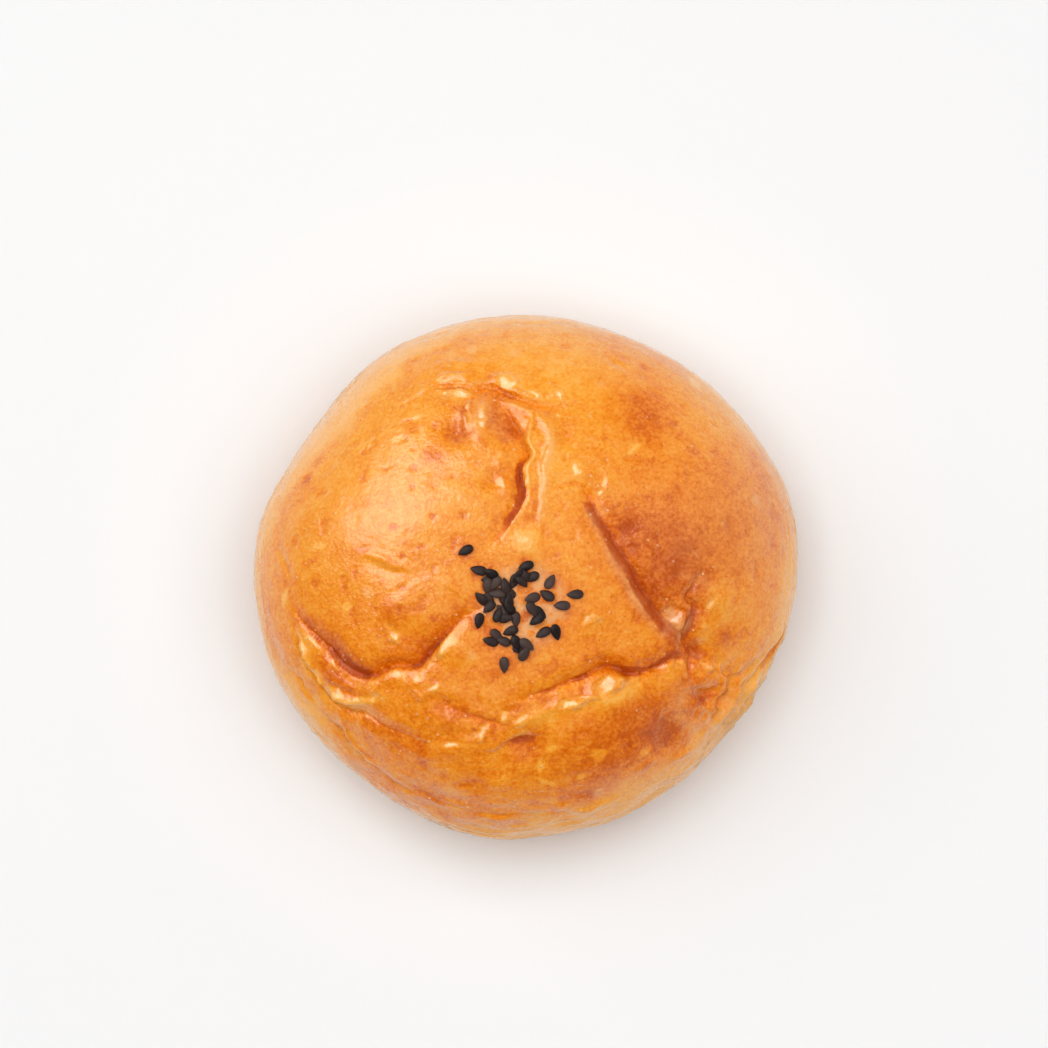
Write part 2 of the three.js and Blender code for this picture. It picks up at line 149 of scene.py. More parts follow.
# Small wrinkles: path, depth (below zero for a ridge), width on the left and on the right.
WRINKLES = [
    # ridges along the right groove
    ([(14, 2.5), (18.5, -4.5), (24, -11.5), (30, -17)], -0.35, 0.7, 0.7),
    ([(17.2, 5), (19.3, 1.6), (22, -2), (24.2, -5.6), (26.8, -9.2), (28, -12)], -0.35, 0.5, 0.5),
    # lip and ridge beside the far groove
    (FAR_LIP, -0.5, 0.45, 0.35),
    (FAR_RIDGE, -0.5, 1.6, 0.8),
    # arcs by the far step
    ([(-17, 35.2), (-14, 36.4), (-11, 35)], -0.6, 0.4, 0.4),
    ([(-17, 32.7), (-13, 33.2), (-8.5, 33)], -0.4, 0.7, 0.7),
    ([(-14.5, 31), (-13.5, 32.4), (-11, 32)], -0.35, 0.6, 0.6),
    ([(-16, 37.5), (-13.5, 39), (-10.5, 38.5)], -0.2, 0.8, 0.8),
    # short ridges that run into the far step
    ([(-6, 36.2), (-5.4, 33.2)], -0.35, 0.4, 0.4),
    ([(-4.7, 36.4), (-4.1, 32.9)], -0.35, 0.4, 0.4),
    ([(-3.4, 36), (-2.9, 32.5)], -0.35, 0.4, 0.4),
    ([(-2.1, 35.4), (-1.7, 32.2)], -0.3, 0.4, 0.4),
    ([(5.6, 32.8), (7.6, 30.6)], -0.35, 0.8, 0.6),
    # pale ridge between the two far hollows
    ([(-11.8, 30), (-11.6, 27), (-12, 24.5)], -0.5, 0.9, 0.9),
    ([(-8.8, 29), (-8.3, 26), (-8.6, 23)], -0.6, 1.4, 1.4),
    # blister and thin lines on the left
    ([(-31, 1.4), (-28, 0.4), (-25, -1.4), (-22, -2.2)], -0.45, 0.7, 0.8),
    ([(-29, -1), (-25.5, -2.9), (-22.5, -3.2)], 0.35, 0.6, 0.7),
    ([(-47.5, 3.5), (-46, 0.5), (-44.5, -3)], 0.4, 0.6, 0.6),
    ([(-15.5, -4.5), (-13, -6), (-10.5, -8)], -0.3, 0.5, 0.5),
    # faint line at the far right
    ([(15.5, 39.5), (17.5, 38), (19.5, 37)], 0.3, 0.8, 0.8),
    # ridges by the near groove
    ([(14, -25), (10, -27), (6.5, -28), (2.5, -29.5), (-2.5, -31)], -0.5, 1.0, 0.9),
    ([(-7, -36), (-5, -36), (-2.5, -34.3), (1.6, -33.3)], 0.9, 0.5, 3.2),
    # creases where the right folds meet
    (MEETING_CREASE, 1.0, 0.6, 0.6),
    ([(31.9, -23.6), (33.5, -25.1), (35.5, -25.2), (37.8, -24)], 1.2, 0.9, 0.6),
    (RIM_ARC, 0.8, 0.6, 0.6),
    (RIM_CREASE, 0.9, 0.6, 0.6),
    ([(41.6, -21), (40.9, -24.5), (38.9, -27.4), (36, -30.4)], -0.7, 0.6, 0.6),
    ([(38.6, -23.4), (36.4, -27), (33.4, -30)], -0.5, 0.7, 0.7),
    # bright ridges in the left fold
    ([(-43, -12), (-42.1, -16.3), (-40.6, -20.2), (-37.3, -25.6)], -0.6, 0.35, 0.5),
    ([(-37.4, -22), (-35.7, -25.2), (-33.3, -26.8), (-29.9, -26), (-26.6, -25.6)], -0.6, 0.9, 0.9),
    ([(-21.5, -24.3), (-19.5, -25.7), (-16.2, -24)], -0.4, 0.6, 0.6),
    # creases from the left fold to the rim
    ([(-47.5, -17.5), (-42.7, -23), (-38.6, -28)], 0.4, 0.6, 0.9),
    ([(-36.1, -28.6), (-34.4, -32.8), (-31, -36.2), (-28, -39.2)], -0.5, 0.5, 0.5),
    ([(-41.2, -27.4), (-36.7, -32), (-33, -36.2)], 0.5, 0.6, 0.8),
    # wrinkles low on the near side
    ([(-26, -40.5), (-20, -44), (-13, -46), (-7, -48), (0, -49)], -0.4, 0.8, 0.8),
    ([(5, -45.7), (9.9, -46.3), (13.9, -45.6), (18.8, -43.7)], -0.5, 0.6, 0.6),
    ([(33, -34.4), (29.6, -36.1), (27, -36.8)], -0.5, 0.6, 0.6),
    ([(20.8, -38.7), (22.6, -38), (24.4, -36.9)], -0.45, 0.6, 0.6),
]

# Flat facets of the crumpled crust that mirror the window: x, y, heading, half length, half width.
FACETS = [
    (28.4, -11.2, -80, 3, 1.5), (15.6, -23.2, 25, 2.9, 1.3), (11.8, -26, 12, 1.8, 0.4),
    (20.5, -22.2, 28, 1.8, 0.6), (26, -20, 15, 2.2, 0.6), (30.2, -19.2, 10, 1.4, 0.5),
    (9.3, -27.2, 15, 2.4, 0.7), (-3.8, -29.4, -60, 1.3, 0.6), (-0.6, -30.4, 30, 1.8, 0.9),
    (-12.7, -34.7, 3, 2.2, 0.6), (-8.6, -33.2, 8, 1.8, 0.9), (-7, -31.8, 20, 1.4, 0.6),
    (-24, -22, -30, 1.9, 0.7), (-20, -22.8, 70, 1.3, 0.8), (-16.9, -24, 10, 1.2, 0.5),
    (-14.4, -16.3, 60, 3, 1.1), (-42.2, -15.6, -78, 2.8, 0.3), (-39.9, -21.4, -62, 2.6, 0.3),
    (-35.6, -25.2, -50, 1.8, 0.8), (-31, -26.3, 8, 3.4, 0.6), (-41, -14.6, -48, 2.4, 0.4),
    (-37, -19.4, -56, 2.4, 0.4), (-13.2, 32.4, -3, 3.8, 0.9), (-14, 36.2, 0, 2.2, 0.28),
    (-14.3, 35.2, 4, 1.6, 0.2), (-3.4, 34.3, -78, 1.8, 2.2), (1.6, 32, -20, 2.2, 0.4),
    (6.6, 31.7, -45, 1, 0.7), (6.3, 27.7, 0, 0.7, 0.4), (-11, 28.2, 88, 2.4, 0.5),
    (-7.9, 27, 86, 3, 1.1), (9.8, 16.6, -60, 1.7, 1.2), (15.1, 14.2, 60, 1.3, 0.7),
    (14, 12.3, 0, 0.9, 0.5), (35.3, -8.3, 65, 1.9, 0.6), (34.9, -19.6, -20, 1.1, 0.7),
    (33.6, -12.6, 60, 1, 0.5), (12, -11.6, 20, 1.8, 0.9), (-24.8, -14.4, -60, 2, 0.9),
    (-4.3, 13.8, -60, 1.3, 0.8),
]
# Pale flakes of the crust: x, y, heading, half length, half width. The flake at (4.8, -35.2) is partly a
# painted highlight.
PALE_FLAKES_AND_HIGHLIGHT = [
    (3, -38.8, 60, 1.3, 0.7), (10.3, -40.4, 20, 0.8, 0.6), (22.4, -35.6, 30, 1.4, 0.7),
    # (4.8, -35.2): partly a pale flake, partly a painted highlight.
    (4.3, -41.5, -20, 2.2, 0.5), (13.6, -36, 25, 1.8, 1), (4.8, -35.2, 40, 1.2, 0.7),
    (33.5, 36, -60, 2.5, 0.7), (20.8, 21, 30, 1.2, 0.7), (-24, 23, 10, 1.4, 0.7),
    (-20.6, 27.4, 50, 0.9, 0.7), (-38.6, 3, 30, 1.2, 0.9), (-33.5, -9, 10, 1.1, 0.8),
    (-46, -6, 80, 1.6, 0.6),
]
# The directions of the window's light, and of a viewer who sees the facets mirror it.
WINDOW = (-0.55, 0.36, 0.76)
VIEWER = (0, -0.12, 0.99)

# Dusty bands and spots that the glaze missed: path, share, width on the left and on the right. The pale rim
# bands are partly painted sheen, and the wedge between the right folds is partly a painted highlight.
DUST_AND_SHEEN_BANDS = [
    (FAR_RIDGE[2:], 0.5, 0.9, 0.7),
    ([(-8.8, 30), (-8.3, 26), (-8.6, 23)], 0.45, 1.6, 1.6),
    ([(-11.6, 29.6), (-11.4, 26)], 0.35, 0.7, 0.7),
    ([(10.6, 11), (14.3, 3.2), (18.1, -3.6), (22.3, -10.4), (27, -16)], 0.6, 0.8, 0.8),
    ([(28, -2), (31, -3.4), (34, -4), (33.4, -6.6)], 0.35, 1.4, 1.4),
    ([(31.4, -7.6), (31.2, -11.8), (29.8, -15), (29.8, -18)], 0.7, 0.5, 0.6),
    # The wedge: partly dusty crust, partly a painted highlight where it faces the window.
    ([(27, -8.2), (28, -11), (29, -14.5)], 0.9, 1.0, 1.3),
    ([(31, -22), (29.3, -27), (30.8, -30.6), (36, -29)], 0.5, 1.8, 1.8),
    ([(39.4, -13.4), (38, -16.4), (38.8, -19)], 0.4, 1.6, 1.6),
    # The next two pale rim bands: partly dusty crust, partly painted sheen.
    ([(43, -22.5), (40.4, -27), (36.5, -32), (31, -36.5)], 0.65, 1.8, 1.8),
    ([(49, -17), (45.5, -25), (41, -31.5), (34.5, -37.5)], 0.5, 2.4, 2.4),
    ([(26, -36), (20, -40), (12, -44)], 0.3, 1.6, 2.4),
]

# Wider places where the glaze is thin: x, y, share, radius. On the right dome and below the far step the
# paleness is partly painted sheen.
DUST_AND_SHEEN_PLACES = [
    # Right dome: partly thin glaze, partly painted sheen, a pale reflection of the bright room.
    (40, 8, 0.3, 16),
    (30, -40, 0.25, 8),
    # Below the far step: partly thin glaze, partly painted sheen.
    (-8, 27.5, 0.22, 5),
]

# Soft browning (above zero) or paler bands: path, change, width on the left and on the right. The browner
# bands on the fold walls are partly browning and partly painted shade where the walls face away from the
# light; the paler bands on the lips are partly paler crust and partly painted highlight.
SOFT_BANDS = [
    (FAR_STEP[2:], 0.28, 0.3, 3.6),
    ([(-3.5, -34.6), (0, -35.2), (4.5, -35)], 0.25, 1.2, 2.4),
    ([(-5.5, 29.5), (-3, 26), (-1.2, 22)], 0.24, 1.6, 2.6),
    (FAR_GROOVE[1:], 0.22, 0.5, 2.6),
    ([(2.2, 13), (2, 8.5), (0.5, 6.5)], 0.15, 0.8, 0.8),
    (FAR_RIDGE, -0.14, 1.0, 0.8),
    # Paler lip: partly paler crust, partly painted highlight.
    (FAR_LIP, -0.3, 0.3, 0.3),
    ([(2.6, 26), (3, 22), (2.2, 17.6), (2.4, 12), (1, 8)], 0.1, 0.9, 0.9),
    (RIGHT_GROOVE, 0.2, 5, 3.2),
    (SHORT_GROOVE, 0.22, 1.6, 1.6),
    # Browning and painted shade on the upper walls of the near and left folds.
    (NEAR_GROOVE[:6], 0.22, 0.6, 3.4),
    (LEFT_GROOVE[:6], 0.4, 5.2, 0.3),
    ([(-40, -17), (-36.4, -21.6), (-33.4, -24.2), (-30.5, -24.4)], 0.1, 1.4, 1.2),
    (LEFT_GROOVE[4:], 0.36, 3, 0.35),
    ([(-41.5, -16.4), (-38.8, -21), (-35.5, -24.5), (-31, -26)], 0.15, 0.9, 0.9),
    (LEFT_LOWER_GROOVE[3:], 0.15, 1, 2.5),
    # Paler lips: partly paler crust, partly painted highlight.
    (NEAR_LIP, -0.34, 1.9, 1.4),
    (LEFT_LIP, -0.28, 0.8, 1.0),
    (NEAR_STEP, 0.12, 0.8, 2),
    ([(-38.5, -27.5), (-36, -31), (-33.5, -35), (-28.5, -38.5)], -0.12, 0.5, 0.5),
    ([(-42.6, -14), (-42.9, -19), (-39.5, -25), (-37, -28)], -0.08, 0.4, 0.4),
]

# Dark walls with a crisp edge, browning in the folds together with painted shade on the walls that face
# away from the light: path, darkness, width on the left and on the right.
BROWN_AND_PAINTED_SHADE_WALLS = [
    (FAR_STEP[2:], 0.5, 0.3, 0.7),
    ([(-4, 28), (-2.2, 25.5), (-0.8, 22)], 0.45, 1.2, 1.6),
    ([*FAR_GROOVE[2:], (-6.2, 1.4)], 1.05, 0.35, 1.3),
    (SHORT_CREASE, 0.5, 0.4, 0.8),
    (RIGHT_GROOVE, 1.25, 0.4, 2.3),
    (SHORT_GROOVE[1:], 0.9, 0.9, 0.8),
    ([(31, -14.5), (33, -17), (35.2, -18.6)], 1.0, 1.6, 1.6),
    (NEAR_GROOVE[:5], 1.0, 0.25, 1.9),
    (NEAR_GROOVE[4:], 0.8, 0.3, 1.0),
    (LEFT_GROOVE[1:6], 0.6, 3.1, 0.25),
    (LEFT_GROOVE[4:9], 0.5, 1.4, 0.3),
    (NEAR_STEP, 0.5, 0.5, 1),
    (MEETING_CREASE, 0.7, 0.5, 0.5),
    ([(31.9, -23.8), (33.5, -25.3), (35.5, -25.4), (37.8, -24.2)], 0.8, 0.4, 1.2),
    (RIM_CREASE, 0.5, 0.5, 0.5),
    (RIM_SLIT[1:], 0.9, 0.5, 0.8),
    ([(-4.5, -35), (-1, -34), (3, -33.6)], 0.85, 0.6, 1.3),
]

# -------- seeds

SEED_LENGTH = 3.15
SEED_WIDTH = 1.9
SEED_THICKNESS = 0.95
SEED_POINT = 0.3
SEED_SUNK = 0.12
SEED_STACK = 0.5
SEED_LEAN = 50

# Clumps of seeds: x, y, how many, spread. Lone seeds: x, y, heading of the blunt end in degrees.
SEED_CLUMPS = [
    (-6.2, -4.4, 4, 1.5), (-1.8, -4.2, 2, 0.9), (0.5, -3.2, 4, 1.8), (-3.8, -7.2, 5, 1.9),
    (-7.2, -8.3, 3, 1.5), (-3.6, -10.6, 4, 1.6), (2.2, -10.6, 3, 1.4), (-5.4, -15.4, 3, 1.6),
    (-0.5, -16.8, 4, 1.5),
]
LONE_SEEDS = [
    (-11.1, 1.1, 28), (-8.6, -2.6, -14), (4.8, -4.8, 242), (4.3, -7.3, -32),
    (9.5, -7.1, 4), (7, -9.2, 0), (1.4, -7.8, 16), (-8.5, -12.1, 78),
    (3.5, -14.3, 30), (5.9, -14.2, 105), (-2.6, -14, 20), (-1.6, -11.8, 92),
    (-3.8, -20.3, 90),
]
DRAW_START = 21580

# -------- browning

# Places baked darker (above zero) or paler: x, y, change, radius. The browner right dome is partly painted
# shade on the side away from the window, the wide paler places at the upper left and the top are partly
# painted light on the side towards it, and the small pale place above the seeds is a painted highlight.
BROWNING_AND_LIGHT_PLACES = [
    (22.8, 28, 0.31, 6), (23.8, 17.6, 0.08, 2), (5, 22, -0.07, 15), (-2, -28, 0.05, 20),
    # (36, 10): browner right dome, partly a darker bake and partly painted shade on the side away from the
    # window.
    (24, -30, 0.15, 11), (26, -4, 0.08, 9), (36, 10, 0.17, 15), (-8, 28.2, 0.14, 6),
    (19.5, 6, 0.28, 3.4), (25.6, 7.2, 0.1, 4), (28, -2, 0.18, 6), (30.5, 2.6, 0.14, 4),
    (39.5, 1.5, 0.08, 4), (38.3, -14.2, 0.32, 2), (33, -25, 0.16, 4), (18, -35, 0.16, 10),
    (26.4, -32, 0.26, 3.6), (30, -35.4, 0.14, 2), (11, -42.7, 0.1, 5), (-8, -45.5, 0.08, 2.5),
    (-9.2, -39.5, 0.08, 2), (-25.9, -9.6, 0.2, 2.4), (-36.5, -21, 0.12, 3), (-16.9, 19.2, 0.24, 2.1),
    (37.5, -7, -0.1, 3), (-39, 20.2, 0.2, 0.9), (-42.1, 15.9, 0.2, 0.9), (-13, 24.6, 0.3, 2.9),
    (-3.2, 24.6, 0.12, 2.6), (-9.6, 26, -0.14, 1.6), (-6, 14.6, 0.16, 1.6), (7, 24, 0.16, 2.8),
    # (-30, 25) and (2, 42): paler upper left and top, partly a lighter bake and partly painted light from
    # the window.
    (-6.6, 35.2, 0.12, 1.5), (-20, -36, 0.06, 14), (-30, 25, -0.1, 20), (2, 42, -0.12, 16),
    # (0.8, 2.7): a painted highlight above the seeds.
    (38, 32, -0.14, 12), (0.8, 2.7, -0.34, 2.3), (5, 18, -0.06, 3),
]
# Sides where the pale skirt reaches higher: heading, mm higher, spread.
PALE_SIDES = [(-5, 9, 60), (80, 5, 30), (145, 15, 50), (215, 5, 25), (292, 9, 38)]
# Where the skirt ends crisply: heading, mm crisper, spread.
CRISP_SIDE = (135, 2, 50)
# The skin between the seeds, where less glaze took: x, y, radius.
BARE_SKIN = (0, -9.3, 9)
# Pale veins where the crumpled crust meets the rim: x, y, share, radius.
VEINED_PLACES = [(36, -30, 0.8, 10)]
# Where the pits are baked darker: x, y, change, radius.
PITTED_PLACES = [(-22, 10, 0.17, 13)]

# -------- helpers

LATTICE_CELLS = 32


def lattice_noise(points, wavelength, start):
    """Smooth random values from -1 to 1, with bumps about a wavelength apart, which may differ by axis."""
    lattice = np.random.default_rng(start).uniform(-1, 1, (LATTICE_CELLS,) * 3)
    scaled = points / wavelength
    cell = np.floor(scaled).astype(int)
    part = scaled - cell
    ease = part**3 * (part * (part * 6 - 15) + 10)
    total = np.zeros(len(points))
    for corner in itertools.product((0, 1), repeat=3):
        at = (cell + corner) % LATTICE_CELLS
        weight = np.prod(np.where(corner, ease, 1 - ease), axis=1)
        total += weight * lattice[at[:, 0], at[:, 1], at[:, 2]]
    return total


def waves(points, *layers):
    """The sum of smooth random waves, each given by height, wavelength and start of its draws."""
    return sum(height * lattice_noise(points, wavelength, start) for height, wavelength, start in layers)


def ridges(points, wavelength, start):
    """Sharp random ridges, 1 along their tops and below 0 between them."""
    return 1 - 3 * np.abs(lattice_noise(points, wavelength, start))


def bell(distance, spread):
    return np.exp(-((distance / spread) ** 2))


def around(points, x, y, radius):
    """How near points lie to a place, seen from above: 1 at its middle, falling to 0."""
    return bell(np.hypot(points[:, 0] - x, points[:, 1] - y), radius)


def patches(points, table):
    """How strongly each place of a table marks the points. A row holds x, y, strength and radius."""
    return [strength * around(points, x, y, radius) for x, y, strength, radius in table]


def smooth_step(value, low, high):
    share = np.clip((value - low) / (high - low), 0, 1)
    return share * share * (3 - 2 * share)


def fade_out(value, low, high):
    """1 up to the low value, falling smoothly to 0 at the high one."""
    return smooth_step(-value, -high, -low)


def toward(heading, degrees, spread):
    """How near headings lie to one given in degrees: 1 there, falling to 0."""
    return bell((np.degrees(heading) - degrees + 180) % 360 - 180, spread)


def place_object(name, data):
    obj = bpy.data.objects.new(name, data)
    bpy.context.scene.collection.objects.link(obj)
    return obj


# -------- form of the crust

DOME_END = math.radians(138)
SIDE_END = math.radians(156)
# The angles from the crown between which the browned base begins.
BASE_EDGE = (SIDE_END - 0.06, SIDE_END + 0.04)
RIM_SHARE = 0.999
LEAST_SHARE = 1e-9

# Paths: points on each span of the curve, mm between even points, and how the ends fade.
SPAN_POINTS = 12
PATH_STEP = 1.0
END_MARGIN = (0.02, 0.98)
END_FADE = 0.6
ROLL_OVER = 1.8
CRISP_EDGE = 6
SOFT_EDGE = 1.6
# How far from a path, in widths, a wrinkle and a band are worked out.
WRINKLE_REACH = 4
BAND_REACH = 2
# Creases that run along the folds: their depth, reach from the fold, width, length and first draw.
CREASE_DEPTH = 0.22
CREASE_REACH = 4
CREASE_WIDTH = 1.1
CREASE_LENGTH = 5
CREASE_START = 51
# How far from a fold the crust is rougher.
ROUGH_REACH = 3.5

# Waves by which lines and spots stray in x and in y: height, wavelength, start of the draws.
LINE_STRAY = [
    [(0.4, 6, 1), (0.25, 2.4, 3)],
    [(0.4, 6, 2), (0.25, 2.4, 4)],
]
SPOT_STRAY = [[(0.35, 1.4, 6)], [(0.35, 1.4, 7)]]

FACET_RISE = 1.6
FACET_SHARE = 0.85
FACET_WAVES = (0.4, 1.3, 8)
# How much paler the facets are painted: a painted highlight that keeps their mirrored window cream.
FACET_PAINTED_HIGHLIGHT = 0.18
FLAKE_AND_HIGHLIGHT_PALENESS = 0.3
BAND_STRENGTH = 0.9
BAND_WAVES = (0.35, 4, 5)
# Glaze in the open, what folds take from it, and between which depths they take it.
OPEN_SHINE = 0.42
FOLD_DULLNESS = 0.42
DULL_DEPTHS = (0.1, 1.0)


def waist_radius(heading):
    radius = 1 / np.hypot(np.cos(heading) / HALF_X, np.sin(heading) / HALF_Y)
    for at, out, spread in OUTLINE_SWELLS:
        radius = radius + out * toward(heading, at, spread)
    return radius


def smooth_path(points):
    """Points spaced evenly along the Catmull-Rom curve through the given ones."""
    p = np.array(points, float)
    p = np.vstack([2 * p[0] - p[1], p, 2 * p[-1] - p[-2]])
    t = np.linspace(0, 1, SPAN_POINTS, endpoint=False)[:, None]
    spans = [
        0.5 * (2 * b + (c - a) * t + (2 * a - 5 * b + 4 * c - d) * t**2 + (3 * b - a - 3 * c + d) * t**3)
        for a, b, c, d in zip(p, p[1:], p[2:], p[3:])
    ]
    dense = np.vstack([*spans, p[-2]])
    length = np.concatenate([[0], np.cumsum(np.linalg.norm(np.diff(dense, axis=0), axis=1))])
    even = np.linspace(0, length[-1], max(2, round(length[-1] / PATH_STEP)) + 1)
    return np.stack([np.interp(even, length, dense[:, k]) for k in (0, 1)], axis=1)


def beside_path(path, place):
    """Signed distance from a path, above zero on its left, and how far along it, from 0 to 1."""
    best = np.full(len(place), np.inf)
    side = np.zeros(len(place))
    along = np.zeros(len(place))
    for i, (a, b) in enumerate(zip(path, path[1:])):
        step = b - a
        t = np.clip((place - a) @ step / (step @ step), 0, 1)
        gap = place - a - t[:, None] * step
        distance = np.linalg.norm(gap, axis=1)
        nearer = distance < best
        best = np.where(nearer, distance, best)
        side = np.where(nearer, step[0] * gap[:, 1] - step[1] * gap[:, 0], side)
        along = np.where(nearer, (i + t) / (len(path) - 1), along)
    return np.where(side > 0, best, -best), along


def near_path(place, points, reach):
    """Which places lie near a path, their distance from it, its fade towards its ends and mm along it."""
    path = smooth_path(points)
    near = np.all((place > path.min(axis=0) - reach) & (place < path.max(axis=0) + reach), axis=1)
    gap, along = beside_path(path, place[near])
    fade = np.sin(math.pi * np.clip(along, *END_MARGIN)) ** END_FADE
    return near, gap, fade, along * (len(path) - 1) * PATH_STEP


def fold(place, points, left_depth, left_width, right_depth, right_width):
    """How deep places lie in a fold whose two sides roll over into it, and their distance from it."""
    near, gap, fade, run = near_path(place, points, max(left_width, right_width, 2 * CREASE_REACH))
    depth = np.where(gap > 0, left_depth, right_depth)
    share = np.clip(np.abs(gap) / np.where(gap > 0, left_width, right_width), 0, 1)
    rolled = 1 - (1 - (1 - share) ** ROLL_OVER) ** (1 / ROLL_OVER)
    grid = np.stack([gap / CREASE_WIDTH, run / CREASE_LENGTH, np.full(len(gap), points[0][0])], axis=1)
    creases = CREASE_DEPTH * bell(gap, CREASE_REACH) * lattice_noise(grid, 1, CREASE_START)
    deep = np.zeros(len(place))
    deep[near] = fade * (depth * rolled + creases)
    distance = np.full(len(place), np.inf)
    distance[near] = np.abs(gap) / fade
    return deep, distance


def wrinkle(place, points, depth, left, right):
    """How deep places lie in a thin wrinkle."""
    near, gap, fade, _ = near_path(place, points, WRINKLE_REACH * max(left, right))
    deep = np.zeros(len(place))
    deep[near] = depth * fade * bell(gap, np.where(gap > 0, left, right))
    return deep


def bands(place, uneven, table, edge):
    """How strongly each row of a table of bands marks the places."""
    marks = []
    for points, strength, left, right in table:
        near, gap, fade, _ = near_path(place, points, BAND_REACH * max(left, right))
        inside = np.zeros(len(place))
        inside[near] = fade * np.exp(-((np.abs(gap) / np.where(gap > 0, left, right)) ** edge))
        marks.append(strength * uneven * inside)
    return marks


def section(heading, fall):
    """Radius, height and outward direction of the smooth roll, by heading and angle from the crown."""
    waist = waist_radius(heading)
    foot = waist * FOOT_SHARE
    rise = CROWN_HEIGHT - WAIST_HEIGHT
    at, loss, spread = SLUMP
    power = DOME_FULLNESS + loss * toward(heading, at, spread)
    share = np.sin(np.clip(fall / DOME_END, 0, 1) * math.pi / 2)
    drop = np.sqrt(np.maximum(1 - share**power, LEAST_SHARE))
    slope = rise / waist * power / 2 * share ** (power - 1) / drop
    length = np.hypot(slope, 1)
    turn = np.clip((fall - DOME_END) / (SIDE_END - DOME_END), 0, 1) * math.pi / 2
    base = foot * np.clip((math.pi - fall) / (math.pi - SIDE_END), 0, 1)
    zones = [fall <= DOME_END, fall <= SIDE_END]
    radius = np.select(zones, [waist * share, foot + (waist - foot) * np.cos(turn)], base)
    height = np.select(zones, [WAIST_HEIGHT + rise * drop, WAIST_HEIGHT * (1 - np.sin(turn))], 0)
    out = np.select(zones, [slope / length, np.cos(turn)], 0)
    up = np.select(zones, [1 / length, -np.sin(turn)], -1)
    return radius, height, out, up


def on_roll(heading, fall):
    """Points of the smooth roll and their outward directions, by heading and angle from the crown."""
    radius, height, out, up = section(heading, fall)
    ahead = np.stack([np.cos(heading), np.sin(heading)], axis=1)
    smooth = np.column_stack([radius[:, None] * ahead, height])
    return smooth, np.column_stack([out[:, None] * ahead, up])


def on_dome(x, y):
    """Points of the smooth roll's top above places, and their outward directions."""
    heading = np.arctan2(y, x)
    share = np.minimum(np.hypot(x, y) / waist_radius(heading), RIM_SHARE)
    return on_roll(heading, np.arcsin(share) / (math.pi / 2) * DOME_END)


def strayed(place, points, stray):
    """Places moved sideways by smooth random waves."""
    return place + np.stack([waves(points, *layers) for layers in stray], axis=1)


def spot(place, x, y, heading, long, wide):
    """How far places lie in a long spot with a crisp edge, from 0 to 1."""
    gap = place - (x, y)
    turn = math.radians(heading)
    along = gap @ (math.cos(turn), math.sin(turn))
    across = gap @ (-math.sin(turn), math.cos(turn))
    return np.exp(-(((along / long) ** 2 + (across / wide) ** 2) ** 3))


def facet(smooth, outward, stand, middle):
    """How far points of the crust would have to stand out to lie on a flat facet."""
    halfway = np.array(Vector(WINDOW).normalized() + Vector(VIEWER).normalized())
    flat = ((middle - smooth) @ halfway) / (outward @ halfway)
    return FACET_RISE * np.tanh((flat - stand) / FACET_RISE)


def folded_in(smooth):
    """How far the crust stands out, how deep its folds are, how near they lie, and the strayed places."""
    place = strayed(smooth[:, :2], smooth * (1, 1, 0), LINE_STRAY)
    stand = sum(patches(smooth, CUSHIONS))
    sunk = np.zeros(len(smooth))
    rough = np.zeros(len(smooth))
    for points, *walls in FOLDS:
        deep, distance = fold(place, points, *walls)
        sunk += deep
        rough = np.maximum(rough, bell(distance, ROUGH_REACH))
    for points, *walls in WRINKLES:
        stand -= wrinkle(place, points, *walls)
    return stand - sunk, sunk, rough, place


def relief(smooth, outward):
    """How far the crust stands out at points of the smooth roll, and its marks there by name."""
    stand, sunk, rough, place = folded_in(smooth)
    ragged = strayed(place, smooth, SPOT_STRAY)
    whole = np.clip(FACET_SHARE + waves(smooth, FACET_WAVES), 0, 1)
    x, y = np.array(FACETS)[:, :2].T
    spots, up = on_dome(x, y)
    middles = spots + folded_in(spots)[0][:, None] * up
    faced = np.zeros(len(smooth))
    for middle, row in zip(middles, FACETS):
        share = whole * spot(ragged, *row)
        stand += share * facet(smooth, outward, stand, middle)
        faced = np.maximum(faced, share)
    flakes_and_highlight = sum(spot(ragged, *row) for row in PALE_FLAKES_AND_HIGHLIGHT)
    uneven = BAND_STRENGTH + waves(smooth * (1, 1, 0), BAND_WAVES)
    # Browning with painted shade on the dark fold walls.
    browning_and_painted_shade = np.max(bands(place, uneven, BROWN_AND_PAINTED_SHADE_WALLS, CRISP_EDGE), axis=0)
    # Dusty crust, with painted sheen and a painted highlight in some places.
    dust_and_sheen = np.max(bands(place, uneven, DUST_AND_SHEEN_BANDS, SOFT_EDGE), axis=0)
    # Soft browning, with painted shade on fold walls and painted highlight on lips.
    browning_and_painted_light = sum(bands(place, uneven, SOFT_BANDS, SOFT_EDGE))
    # Painted highlight: the facets are painted paler; the flakes are paler crust, one of them partly a
    # painted highlight.
    browning_and_painted_light -= FACET_PAINTED_HIGHLIGHT * faced + FLAKE_AND_HIGHLIGHT_PALENESS * flakes_and_highlight
    shine = OPEN_SHINE - FOLD_DULLNESS * smooth_step(sunk, *DULL_DEPTHS)
    shine = np.clip(np.maximum(shine, faced) - browning_and_painted_shade, 0, 1)
    folded = np.maximum(rough, faced)
    return stand, {"browning_and_painted_shade": browning_and_painted_shade, "browning_and_painted_light": browning_and_painted_light, "dust_and_sheen": dust_and_sheen, "shine": shine, "folded": folded}


# Crumpled patches: x, y, share, radius. Their height, and their ridges: share, wavelength, start.
CRUMPLED_PATCHES = [(40, -26, 1.7, 7), (29, -3, 0.6, 6)]
CRUMPLE_HEIGHT = 0.35
CRUMPLE_RIDGES = [(1, 3.2, 21), (0.4, 1.6, 22)]
